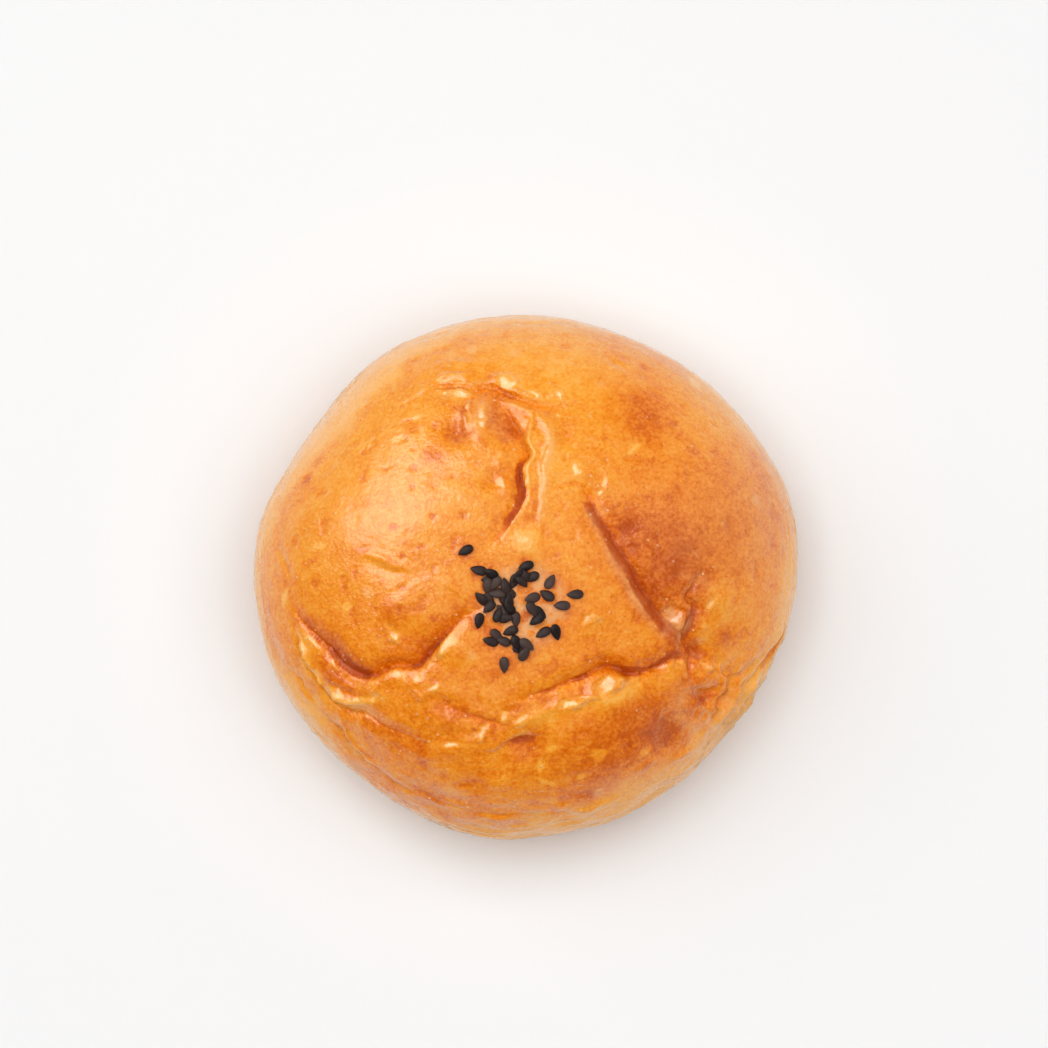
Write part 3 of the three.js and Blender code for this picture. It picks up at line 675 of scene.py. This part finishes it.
# Lines round the low wall: their height, wavelengths and start, the heights between which they
# fade out, and the mm from far left to near right over which they grow.
LOW_LINE_HEIGHT = 0.22
LOW_LINE_RIDGES = ((8, 8, 2.2), 23)
LOW_LINE_FADE = (17, 30)
LOW_LINE_GROWTH = (0, 60)
# Brushed skin on the left dome: x, y, radius, then its heading and its waves.
BRUSHED_PLACE = (-24, -7, 9)
BRUSHED_HEADING = math.radians(20)
BRUSHED_WAVES = (0.07, (5, 1.1, 3), 24)
# Rippled skin at the near side: x, y, radius, how much longer it is in x, and its waves.
RIPPLED_PLACE = (-12, -36, 11)
RIPPLED_STRETCH = 1.6
RIPPLED_WAVES = (0.4, (5, 3, 3), 25)


def crumple(p):
    """Fine wrinkles: crumpled patches, lines round the low wall, and brushed and rippled skin."""
    x, y, z = p.T
    ridged = sum(share * ridges(p, wavelength, start) for share, wavelength, start in CRUMPLE_RIDGES)
    low = fade_out(z, *LOW_LINE_FADE) * (0.5 + 0.5 * smooth_step(x - y, *LOW_LINE_GROWTH))
    turned = p @ Matrix.Rotation(BRUSHED_HEADING, 3, "Z")
    rx, ry, radius = RIPPLED_PLACE
    rippled = bell(np.hypot((x - rx) / RIPPLED_STRETCH, y - ry), radius)
    high = CRUMPLE_HEIGHT * sum(patches(p, CRUMPLED_PATCHES)) * ridged
    high += LOW_LINE_HEIGHT * low * ridges(p, *LOW_LINE_RIDGES)
    high += around(p, *BRUSHED_PLACE) * waves(turned, BRUSHED_WAVES)
    return high + rippled * waves(p, RIPPLED_WAVES)


def cube_sphere(splits):
    """Directions and four-sided faces of a cube's sides pushed out to a sphere."""
    ticks = np.tan(np.linspace(-math.pi / 4, math.pi / 4, splits + 1))
    u, v = (grid.ravel() for grid in np.meshgrid(ticks, ticks, indexing="ij"))
    one = np.ones_like(u)
    sides = [(one, u, v), (-one, v, u), (v, one, u), (u, -one, v), (u, v, one), (v, u, -one)]
    directions = np.vstack([np.stack(side, axis=1) for side in sides])
    corner = (np.arange(splits)[:, None] * (splits + 1) + np.arange(splits)).ravel()
    quad = np.stack([corner, corner + splits + 1, corner + splits + 2, corner + 1], axis=1)
    faces = np.vstack([quad + k * (splits + 1) ** 2 for k in range(len(sides))])
    same = np.round(directions, SAME_DIGITS)
    _, first, again = np.unique(same, axis=0, return_index=True, return_inverse=True)
    directions = directions[first]
    directions /= np.linalg.norm(directions, axis=1, keepdims=True)
    return directions, again.reshape(-1)[faces]


CRUST_SPLITS = 127
# Points of the cube's sides that agree to this many digits are one.
SAME_DIGITS = 6
# How much closer the points lie at the crown.
CROWDING = 0.3
# Waves of the whole crust: height in the open, more of it by a fold, wavelength, start of the draws.
CRUST_WAVES = [(0.22, 0, 9, 11), (0.07, 0.14, 4, 12), (0.03, 0.1, 1.6, 13), (0.03, 0.05, 0.9, 14)]
# Pits: their waves, the levels between which one begins, and depth.
PIT_WAVES = (1, 1.9, 15)
PIT_EDGE = (0.4, 0.75)
PIT_DEPTH = 0.1

# The pale skirt: height, waves and half width of its edge, that edge's share of the paleness, and
# the heights between which the rest fades out.
SKIRT_HEIGHT = 15
SKIRT_WAVES = [(3.2, 14, 31), (1.3, 4, 32)]
SKIRT_SOFTNESS = 3.5
SKIRT_EDGE_SHARE = 0.72
SKIRT_FADE = (2, 12)

# The heights between which the marks of the top fade in.
MARKED_HEIGHTS = (13, 19)
EVEN_BAKE = 0.5
# Browning round the seeds: partly glaze pooled at them, partly a painted contact shadow.
SEED_BROWNING_AND_SHADOW = 0.22
PIT_BROWNING = 0.1
# The skin between the seeds.
SKIN_WAVES = [(1, 2.6, 41), (0.5, 1.2, 42)]
SKIN_MOTTLE_EDGE = (-0.4, 0.1)
SKIN_EDGE = (0.3, 0.7)
GLAZED_BY_SEEDS = 0.35
# Pale veins run where these waves are near zero.
VEIN_WAVES = (1, 2.4, 51)
VEIN_WIDTHS = (0.03, 0.14)


def skirt_share(smooth, heading):
    """How pale the side is, from 0 on the crown to 1 at the foot."""
    line = smooth[:, 2] + waves(smooth, *SKIRT_WAVES)
    for at, higher, spread in PALE_SIDES:
        line -= higher * toward(heading, at, spread)
    at, crisper, spread = CRISP_SIDE
    soft = SKIRT_SOFTNESS - crisper * toward(heading, at, spread)
    edge = smooth_step((SKIRT_HEIGHT - line) / soft, -1, 1)
    return SKIRT_EDGE_SHARE * edge + (1 - SKIRT_EDGE_SHARE) * fade_out(line, *SKIRT_FADE)


def skin_and_sheen_share(smooth, by_seeds, dust_and_sheen):
    """How much skin shows through the glaze, with painted sheen in some dusty places, from 0 to 1."""
    mottle = smooth_step(waves(smooth, *SKIN_WAVES), *SKIN_MOTTLE_EDGE)
    bare_skin_and_sheen = smooth_step(around(smooth, *BARE_SKIN), *SKIN_EDGE) * mottle
    bare_skin_and_sheen = np.maximum(bare_skin_and_sheen * (1 - GLAZED_BY_SEEDS * by_seeds), dust_and_sheen)
    veins = fade_out(np.abs(waves(smooth, VEIN_WAVES)), *VEIN_WIDTHS)
    veined = veins * sum(patches(smooth, VEINED_PLACES))
    return np.max([bare_skin_and_sheen, *patches(smooth, DUST_AND_SHEEN_PLACES), veined], axis=0)


def finish_levels(smooth, heading, fall, stay, pits, marks):
    """What the crust's finish needs to know at each point, by name."""
    by_seeds = np.max([around(smooth, x, y, SEED_WIDTH) for x, y, *_ in seed_places()], axis=0)
    crown = stay * smooth_step(smooth[:, 2], *MARKED_HEIGHTS)
    browning_and_painted_light = marks["browning_and_painted_light"] + sum(patches(smooth, BROWNING_AND_LIGHT_PLACES))
    pitted = (PIT_BROWNING + sum(patches(smooth, PITTED_PLACES))) * pits
    return {
        # Browner round the seeds: partly pooled glaze, partly a painted contact shadow.
        "bake": EVEN_BAKE + (browning_and_painted_light + SEED_BROWNING_AND_SHADOW * by_seeds) * crown + pitted,
        "browning_and_painted_shade": marks["browning_and_painted_shade"] * crown,
        "folded": marks["folded"] * stay,
        "shine": marks["shine"] * stay,
        "skirt": skirt_share(smooth, heading),
        "base": smooth_step(fall, *BASE_EDGE),
        "bare_skin_and_sheen": skin_and_sheen_share(smooth, by_seeds, marks["dust_and_sheen"]) * crown,
    }


def build_crust():
    """The crust's mesh, with the levels for its finish."""
    directions, faces = cube_sphere(CRUST_SPLITS)
    heading = np.arctan2(directions[:, 1], directions[:, 0])
    fall = np.arccos(np.clip(directions[:, 2], -1, 1))
    fall *= 1 - CROWDING + CROWDING * fall / math.pi
    smooth, outward = on_roll(heading, fall)
    stand, marks = relief(smooth, outward)
    for height, more, wavelength, start in CRUST_WAVES:
        stand += (height + more * marks["folded"]) * lattice_noise(smooth, wavelength, start)
    pits = smooth_step(waves(smooth, PIT_WAVES), *PIT_EDGE)
    stand += crumple(smooth)
    stand -= PIT_DEPTH * pits
    stay = 1 - smooth_step(fall, DOME_END, SIDE_END)
    points = smooth + (stand * stay)[:, None] * outward

    mesh = bpy.data.meshes.new("crust")
    mesh.from_pydata((points * MM).tolist(), [], faces.tolist())
    mesh.validate()
    mesh.shade_smooth()
    for name, values in finish_levels(smooth, heading, fall, stay, pits, marks).items():
        mesh.attributes.new(name, "FLOAT", "POINT").data.foreach_set("value", values.astype(np.float32))
    return place_object("crust", mesh)


# -------- node helpers


def feed(tree, node, sockets):
    """Give each named socket of a node its value or its link."""
    for key, value in sockets.items():
        if isinstance(value, bpy.types.NodeSocket):
            tree.links.new(value, node.inputs[key])
        else:
            node.inputs[key].default_value = value


def add(tree, kind, sockets=None, **settings):
    """The outputs of a new node."""
    node = tree.nodes.new(kind)
    for name, value in settings.items():
        setattr(node, name, value)
    feed(tree, node, sockets or {})
    return node.outputs


def open_sockets(tree, side, kind, names):
    """Named sockets on one side of a group. A dict gives each its default value."""
    for name in names:
        socket = tree.interface.new_socket(name, in_out=side, socket_type=f"NodeSocket{kind}")
        if isinstance(names, dict):
            socket.default_value = names[name]


def calc(tree, operation, *values):
    return add(tree, "ShaderNodeMath", dict(enumerate(values)), operation=operation)[0]


def ranged(tree, value, low, high, first=0.0, last=1.0, kind="SMOOTHSTEP"):
    """A value brought from one range to another."""
    sockets = {0: value, 1: low, 2: high, 3: first, 4: last}
    return add(tree, "ShaderNodeMapRange", sockets, interpolation_type=kind)[0]


def blend(tree, share, first, second):
    """A colour between two colours."""
    return add(tree, "ShaderNodeMix", {0: share, 6: first, 7: second}, data_type="RGBA")[2]


def level(tree, name):
    """A value that the mesh holds at each point."""
    return add(tree, "ShaderNodeAttribute", attribute_name=name)["Fac"]


def bump(tree, distance, height):
    sockets = {"Strength": 1.0, "Distance": distance * MM, "Height": height}
    return add(tree, "ShaderNodeBump", sockets)[0]


def new_material(name):
    material = bpy.data.materials.new(name)
    material.use_nodes = True
    tree = material.node_tree
    return material, tree, tree.nodes["Principled BSDF"]


# -------- baked grain

NOISE_ROUGHNESS = 0.6
PATCH_STRENGTH = 2.4
GRAIN_STRENGTH = 3.2
GRAIN_HEIGHT = 2.0
# A blister's edge, in cells, and what decides whether its cell has one.
BLISTER_EDGE = (0.07, 0.19)
BLISTER_PATCHES = 1.5
BLISTER_CHANCE = (0.5, 0.9)


def grain_sizes(patch, grain, spacing, height):
    """The inputs of the baked grain, in mm, with a share for the height of its blisters."""
    return {"Patch Size": patch, "Grain Size": grain, "Blister Spacing": spacing, "Blister Height": height}


CRUST_GRAIN = grain_sizes(3.0, 0.7, 1.8, 1.0)
CRUST_PATCHES = grain_sizes(16.0, 5.0, 9.0, 0.0)
CRUST_PORES = grain_sizes(9.0, 0.5, 1.2, 0.0)
SEED_GRAIN = grain_sizes(1.2, 0.16, 0.5, 0.3)


def grain_group():
    """Fine baked grain: a mottle from -1 to 1, tiny blisters from 0 to 1, and a height for a Bump node."""
    group = bpy.data.node_groups.new("baked grain", "ShaderNodeTree")
    open_sockets(group, "INPUT", "Float", CRUST_GRAIN)
    open_sockets(group, "OUTPUT", "Float", ["Mottle", "Blisters", "Height"])
    given = add(group, "NodeGroupInput")
    place = add(group, "ShaderNodeTexCoord")["Object"]

    def noise(size, detail):
        scale = calc(group, "DIVIDE", 1 / MM, size)
        sockets = {"Vector": place, "Scale": scale, "Detail": detail, "Roughness": NOISE_ROUGHNESS}
        return calc(group, "SUBTRACT", add(group, "ShaderNodeTexNoise", sockets)[0], 0.5)

    broad = noise(given["Patch Size"], 3)
    grain = noise(given["Grain Size"], 2)
    mottle = calc(group, "MULTIPLY", grain, GRAIN_STRENGTH)
    mottle = calc(group, "MULTIPLY_ADD", broad, PATCH_STRENGTH, mottle)
    sockets = {"Vector": place, "Scale": calc(group, "DIVIDE", 1 / MM, given["Blister Spacing"])}
    cells = add(group, "ShaderNodeTexVoronoi", sockets)
    chance = add(group, "ShaderNodeSeparateColor", {0: cells["Color"]})[0]
    chance = calc(group, "MULTIPLY_ADD", broad, BLISTER_PATCHES, chance)
    blister = ranged(group, cells["Distance"], *BLISTER_EDGE, 1.0, 0.0)
    blister = calc(group, "MULTIPLY", blister, ranged(group, chance, *BLISTER_CHANCE))
    raised = calc(group, "MULTIPLY", blister, given["Blister Height"])
    height = calc(group, "MULTIPLY_ADD", grain, GRAIN_HEIGHT, raised)
    add(group, "NodeGroupOutput", {"Mottle": mottle, "Blisters": blister, "Height": height})
    return group


# -------- finishes

# Colours of the crust from pale to burnt, by how far it is baked.
CRUST_COLOURS = [
    (0.0, (0.97, 0.49, 0.15)),
    (0.3, (0.93, 0.40, 0.035)),
    (0.55, (0.87, 0.245, 0.006)),
    (0.75, (0.70, 0.135, 0.002)),
    (1.0, (0.43, 0.055, 0.002)),
]
# The skin's colour, also used for painted sheen in some dusty places.
SKIN_AND_SHEEN_COLOUR = (0.81, 0.40, 0.15, 1)
# The colour of pale blisters, also used for painted glints near the folds.
BLISTER_AND_GLINT_COLOUR = (0.98, 0.66, 0.32, 1)
SEED_COLOURS = [(0.008, 0.005, 0.005, 1), (0.062, 0.036, 0.029, 1)]
FLOOR_COLOUR = (0.82, 0.815, 0.815, 1)

# How much further the mottle, patches, pores, dark walls (browning with painted shade), pale skirt and base
# bake the crust.
BAKE_SHARES = (0.17, 0.05, 0.24, 0.42, -0.38, 0.6)
DARK_EDGE = (0.2, 0.65)
SKIN_AND_SHEEN_SHARE = 0.85
SKIN_MOTTLE = -0.1
BLISTER_SHARE = 0.35
# Painted glints: more blister colour near the folds.
FOLD_GLINT_SHARE = 0.4
LARGE_BLISTER_SHARE = 0.22
# The bake at which the glaze burns away, and how fast it does.
BURNT_BAKE = 0.66
BURNT_LOSS = -2.5
CRUST_ROUGHNESS = 0.18
DARK_ROUGHNESS = 0.5
CRUST_BUMP = 0.1
SEED_MOTTLE = 0.3
SEED_BUMP = 0.04


def crust_finish(grain):
    material, tree, shader = new_material("glazed crust")
    fine = add(tree, "ShaderNodeGroup", CRUST_GRAIN, node_tree=grain)
    broad = add(tree, "ShaderNodeGroup", CRUST_PATCHES, node_tree=grain)
    pores = add(tree, "ShaderNodeGroup", CRUST_PORES, node_tree=grain)
    # The dark walls: browning with painted shade.
    browning_and_painted_shade = calc(tree, "MULTIPLY", ranged(tree, level(tree, "browning_and_painted_shade"), *DARK_EDGE), level(tree, "browning_and_painted_shade"))
    bake = level(tree, "bake")
    pale, base = level(tree, "skirt"), level(tree, "base")
    bakers = (fine["Mottle"], broad["Mottle"], pores["Blisters"], browning_and_painted_shade, pale, base)
    for value, share in zip(bakers, BAKE_SHARES):
        bake = calc(tree, "MULTIPLY_ADD", value, share, bake)
    ramp = tree.nodes.new("ShaderNodeValToRGB")
    feed(tree, ramp, {0: bake})
    ramp.color_ramp.interpolation = "B_SPLINE"
    for k, (at, colour) in enumerate(CRUST_COLOURS):
        stop = ramp.color_ramp.elements[k] if k < 2 else ramp.color_ramp.elements.new(at)
        stop.position = at
        stop.color = (*colour, 1)
    # Skin colour, with painted sheen in some dusty places.
    skin_and_sheen = calc(tree, "MULTIPLY", level(tree, "bare_skin_and_sheen"), SKIN_AND_SHEEN_SHARE)
    skin_and_sheen = calc(tree, "MULTIPLY_ADD", fine["Mottle"], SKIN_MOTTLE, skin_and_sheen)
    colour = blend(tree, skin_and_sheen, ramp.outputs[0], SKIN_AND_SHEEN_COLOUR)
    # Pale blisters, with painted glints near the folds.
    small = calc(tree, "MULTIPLY_ADD", level(tree, "folded"), FOLD_GLINT_SHARE, BLISTER_SHARE)
    colour = blend(tree, calc(tree, "MULTIPLY", fine["Blisters"], small), colour, BLISTER_AND_GLINT_COLOUR)
    large = calc(tree, "MULTIPLY", broad["Blisters"], LARGE_BLISTER_SHARE)
    colour = blend(tree, large, colour, BLISTER_AND_GLINT_COLOUR)
    burnt = calc(tree, "MAXIMUM", calc(tree, "SUBTRACT", level(tree, "bake"), BURNT_BAKE), 0.0)
    glaze = calc(tree, "MAXIMUM", calc(tree, "MULTIPLY_ADD", burnt, BURNT_LOSS, level(tree, "shine")), 0.0)
    sockets = {
        "Base Color": colour,
        "Roughness": calc(tree, "MULTIPLY_ADD", browning_and_painted_shade, DARK_ROUGHNESS, CRUST_ROUGHNESS),
        "Coat Weight": glaze,
        "Normal": bump(tree, CRUST_BUMP, fine["Height"]),
        "Specular IOR Level": 0.42,
        "Coat Roughness": 0.18,
        "Coat IOR": 1.6,
    }
    feed(tree, shader, sockets)
    return material


def seed_finish(grain):
    material, tree, shader = new_material("black sesame")
    fine = add(tree, "ShaderNodeGroup", SEED_GRAIN, node_tree=grain)
    share = calc(tree, "MULTIPLY_ADD", fine["Mottle"], SEED_MOTTLE, level(tree, "tone"))
    sockets = {
        "Base Color": blend(tree, share, *SEED_COLOURS),
        "Normal": bump(tree, SEED_BUMP, fine["Height"]),
        "Roughness": 0.42,
        "Specular IOR Level": 0.3,
    }
    feed(tree, shader, sockets)
    return material


def floor_finish():
    material, tree, shader = new_material("pale floor")
    feed(tree, shader, {"Base Color": FLOOR_COLOUR, "Roughness": 0.6})
    return material


# -------- making the seeds

# What brings a pointed seed back to its full width.
SEED_GIRTH = 1.19
SEED_BALL = {"Segments": 20, "Rings": 14, "Radius": 0.5}
SEED_UNEVENNESS = 0.06
SIZE_DRAWS = 5
TONE_DRAWS = 8
# A seed rises over another that is nearer than this share of a width.
SEED_OVERLAP = 0.8
# How high above the base, in mm, the seeds are dropped from.
DROP_HEIGHT = 200


def seeded_draws(start):
    """Repeatable random values from 0 to 1."""
    low = 0xFFFFFFFF
    state = start
    while True:
        state = (state + 0x6D2B79F5) & low
        mixed = ((state ^ (state >> 15)) * (state | 1)) & low
        mixed ^= (mixed + ((mixed ^ (mixed >> 7)) * (mixed | 61) & low)) & low
        yield ((mixed ^ (mixed >> 14)) & low) / 2**32


def seed_places():
    """Where each seed lies: x, y, heading of its blunt end, lift over others and lean."""
    draws = seeded_draws(DRAW_START)
    flat = [(x, y, math.radians(heading)) for x, y, heading in LONE_SEEDS]
    for x, y, seeds, spread in SEED_CLUMPS:
        phase = next(draws) * 2 * math.pi
        for k in range(seeds):
            turn = phase + k * math.pi * (3 - math.sqrt(5))
            reach = spread * math.sqrt((k + 0.5) / seeds)
            heading = next(draws) * 2 * math.pi
            flat.append((x + reach * math.cos(turn), y + reach * math.sin(turn), heading))
    places = []
    for x, y, heading in flat:
        over = any(math.hypot(x - p[0], y - p[1]) < SEED_OVERLAP * SEED_WIDTH for p in places)
        lean = math.radians((next(draws) - 0.5) * SEED_LEAN)
        places.append((x, y, heading, SEED_STACK if over else 0, lean))
    return places


def drawn(tree, low, high, start):
    """A random value for each seed."""
    sockets = {2: low, 3: high, "Seed": start}
    return add(tree, "FunctionNodeRandomValue", sockets, data_type="FLOAT")[1]


def seed_tree(material):
    """Geometry Nodes: a flattened drop on each given point, turned as the point says."""
    tree = bpy.data.node_groups.new("scatter seeds", "GeometryNodeTree")
    open_sockets(tree, "INPUT", "Geometry", ["Points"])
    sizes = {"Length": SEED_LENGTH * MM, "Width": SEED_WIDTH * MM, "Thickness": SEED_THICKNESS * MM}
    sizes |= {"Point": SEED_POINT, "Unevenness": SEED_UNEVENNESS}
    open_sockets(tree, "INPUT", "Float", sizes)
    open_sockets(tree, "OUTPUT", "Geometry", ["Seed"])
    given = add(tree, "NodeGroupInput")
    ball = add(tree, "GeometryNodeMeshUVSphere", SEED_BALL)["Mesh"]
    split = add(tree, "ShaderNodeSeparateXYZ", {0: add(tree, "GeometryNodeInputPosition")[0]})
    share = calc(tree, "MAXIMUM", calc(tree, "ADD", split["Z"], 0.5), 0.0)
    girth = calc(tree, "MULTIPLY", calc(tree, "POWER", share, given["Point"]), SEED_GIRTH)
    wide = calc(tree, "MULTIPLY", calc(tree, "MULTIPLY", split["X"], girth), given["Width"])
    thick = calc(tree, "MULTIPLY", calc(tree, "MULTIPLY", split["Y"], girth), given["Thickness"])
    long = calc(tree, "MULTIPLY", split["Z"], given["Length"])
    drop = add(tree, "ShaderNodeCombineXYZ", {"X": long, "Y": wide, "Z": thick})[0]
    shaped = add(tree, "GeometryNodeSetPosition", {"Geometry": ball, "Position": drop})[0]
    turn = add(tree, "GeometryNodeInputNamedAttribute", {"Name": "turn"}, data_type="FLOAT_VECTOR")[0]
    least = calc(tree, "SUBTRACT", 1.0, given["Unevenness"])
    most = calc(tree, "ADD", 1.0, given["Unevenness"])
    size = drawn(tree, least, most, SIZE_DRAWS)
    sockets = {"Points": given["Points"], "Instance": shaped, "Rotation": turn, "Scale": size}
    seeds = add(tree, "GeometryNodeInstanceOnPoints", sockets)[0]
    sockets = {"Geometry": seeds, "Name": "tone", "Value": drawn(tree, 0.0, 1.0, TONE_DRAWS)}
    toned = add(tree, "GeometryNodeStoreNamedAttribute", sockets, data_type="FLOAT", domain="INSTANCE")[0]
    real = add(tree, "GeometryNodeRealizeInstances", {0: toned})[0]
    finished = add(tree, "GeometryNodeSetMaterial", {"Geometry": real, "Material": material})[0]
    add(tree, "NodeGroupOutput", {0: finished})
    return tree, sizes


def seed_points(crust):
    """A mesh of the points that the seeds stand on, each with its turn."""
    faces = [face.vertices for face in crust.data.polygons]
    surface = BVHTree.FromPolygons([vertex.co for vertex in crust.data.vertices], faces)
    points, turns = [], []
    for x, y, heading, lift, lean in seed_places():
        start = Vector((x * MM, y * MM, DROP_HEIGHT * MM))
        landing, up, *_ = surface.ray_cast(start, Vector((0, 0, -1)))
        ahead = Vector((math.cos(heading), math.sin(heading), 0))
        ahead = (ahead - ahead.dot(up) * up).normalized()
        turn = Matrix((ahead, up.cross(ahead), up)).transposed() @ Matrix.Rotation(lean, 3, "X")
        raised = SEED_THICKNESS * (0.5 - SEED_SUNK) + lift
        points.append(landing + up * raised * MM)
        turns.append(turn.to_euler())
    mesh = bpy.data.meshes.new("seed points")
    mesh.from_pydata(points, [], [])
    mesh.attributes.new("turn", "FLOAT_VECTOR", "POINT").data.foreach_set("vector", np.array(turns).ravel())
    return mesh


def build_seeds(crust, material):
    """The seeds, laid on the crust and partly sunk in it."""
    holder = place_object("seed points", seed_points(crust))
    tree, sizes = seed_tree(material)
    modifier = holder.modifiers.new("seeds", "NODES")
    modifier.node_group = tree
    for item in tree.interface.items_tree:
        if item.in_out == "INPUT" and item.name in sizes:
            modifier[item.identifier] = sizes[item.name]
    graph = bpy.context.evaluated_depsgraph_get()
    plain = bpy.data.meshes.new_from_object(holder.evaluated_get(graph))
    holder.modifiers.clear()
    bpy.data.objects.remove(holder)
    plain.shade_smooth()
    return place_object("sesame_seeds", plain)


grain = grain_group()
crust = build_crust()
crust.data.materials.append(crust_finish(grain))
seeds = build_seeds(crust, seed_finish(grain))

# -------- floor, light and camera

FLOOR_SIZE = 4
FRAME_WIDTH = 204.4
SENSOR_WIDTH = 36
CAMERA_ELEVATION = 83
CAMERA_DISTANCE = 700
CAMERA_AIM = (-0.1, 9.1, 20)

# Lamps: name, watts, size in metres, direction, distance in mm, lights the matt part, seen in the gloss.
LAMPS = [
    ("window", 25, 1.4, WINDOW, 2000, False, True),
    ("daylight", 190, 6.6, (-0.62, 0.26, 0.75), 6000, True, False),
    ("fill", 61, 3, (0.17, 0.0, 1), 2200, True, False),
]
LAMP_AIM = (0, 0, 30)

# The side towards which the room brightens, by shares of x and y, and between which levels.
BRIGHT_SIDE = (0.8, 0.6)
BRIGHT_LEVELS = (-0.3, 0.9)
# Brightness near the floor, how high it reaches, both on the dim and bright side, and overhead.
ROOM_BRIGHTNESS = (0.42, 0.65)
ROOM_REACH = (0.25, 0.8)
CEILING_BRIGHTNESS = 0.05
ROOM_COLOUR = (1, 0.995, 0.99, 1)


def aim_from(direction, distance, target):
    """The place at a distance from a target, facing it, as a matrix."""
    back = Vector(direction).normalized()
    turn = back.to_track_quat("Z", "Y").to_matrix().to_4x4()
    return Matrix.Translation(Vector(target) * MM + back * distance * MM) @ turn


def build_room():
    world = bpy.data.worlds.new("studio")
    world.use_nodes = True
    tree = world.node_tree
    direction = add(tree, "ShaderNodeTexCoord")["Generated"]
    split = add(tree, "ShaderNodeSeparateXYZ", {0: direction})
    across, away = BRIGHT_SIDE
    side = calc(tree, "MULTIPLY_ADD", split["X"], across, calc(tree, "MULTIPLY", split["Y"], away))
    bright = ranged(tree, side, *BRIGHT_LEVELS, *ROOM_BRIGHTNESS, "LINEAR")
    reach = ranged(tree, side, *BRIGHT_LEVELS, *ROOM_REACH, "LINEAR")
    strength = ranged(tree, split["Z"], 0.0, reach, bright, CEILING_BRIGHTNESS)
    feed(tree, tree.nodes["Background"], {0: ROOM_COLOUR, 1: strength})
    return world


def build_stage():
    scene = bpy.context.scene
    bpy.ops.mesh.primitive_plane_add(size=FLOOR_SIZE)
    floor = bpy.context.object
    floor.name = "floor"
    floor.data.materials.append(floor_finish())
    scene.world = build_room()

    for name, watts, size, direction, distance, matt, mirrored in LAMPS:
        lamp = bpy.data.lights.new(name, "AREA")
        lamp.energy = watts
        lamp.size = size
        light = place_object(name, lamp)
        light.matrix_world = aim_from(direction, distance, LAMP_AIM)
        light.visible_diffuse = matt
        light.visible_glossy = mirrored

    lens = bpy.data.cameras.new("camera")
    lens.sensor_width = SENSOR_WIDTH
    lens.lens = SENSOR_WIDTH * CAMERA_DISTANCE / FRAME_WIDTH
    camera = place_object("camera", lens)
    rise = math.radians(CAMERA_ELEVATION)
    camera.matrix_world = aim_from((0, -math.cos(rise), math.sin(rise)), CAMERA_DISTANCE, CAMERA_AIM)
    scene.camera = camera
    scene.view_settings.view_transform = "Standard"


build_stage()

# -------- attach the pieces to the body and hide the imported roll

for piece, slot in ((crust, CRUST_SLOT), (seeds, SEED_SLOT)):
    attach(piece, BODY)
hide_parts(NODE)
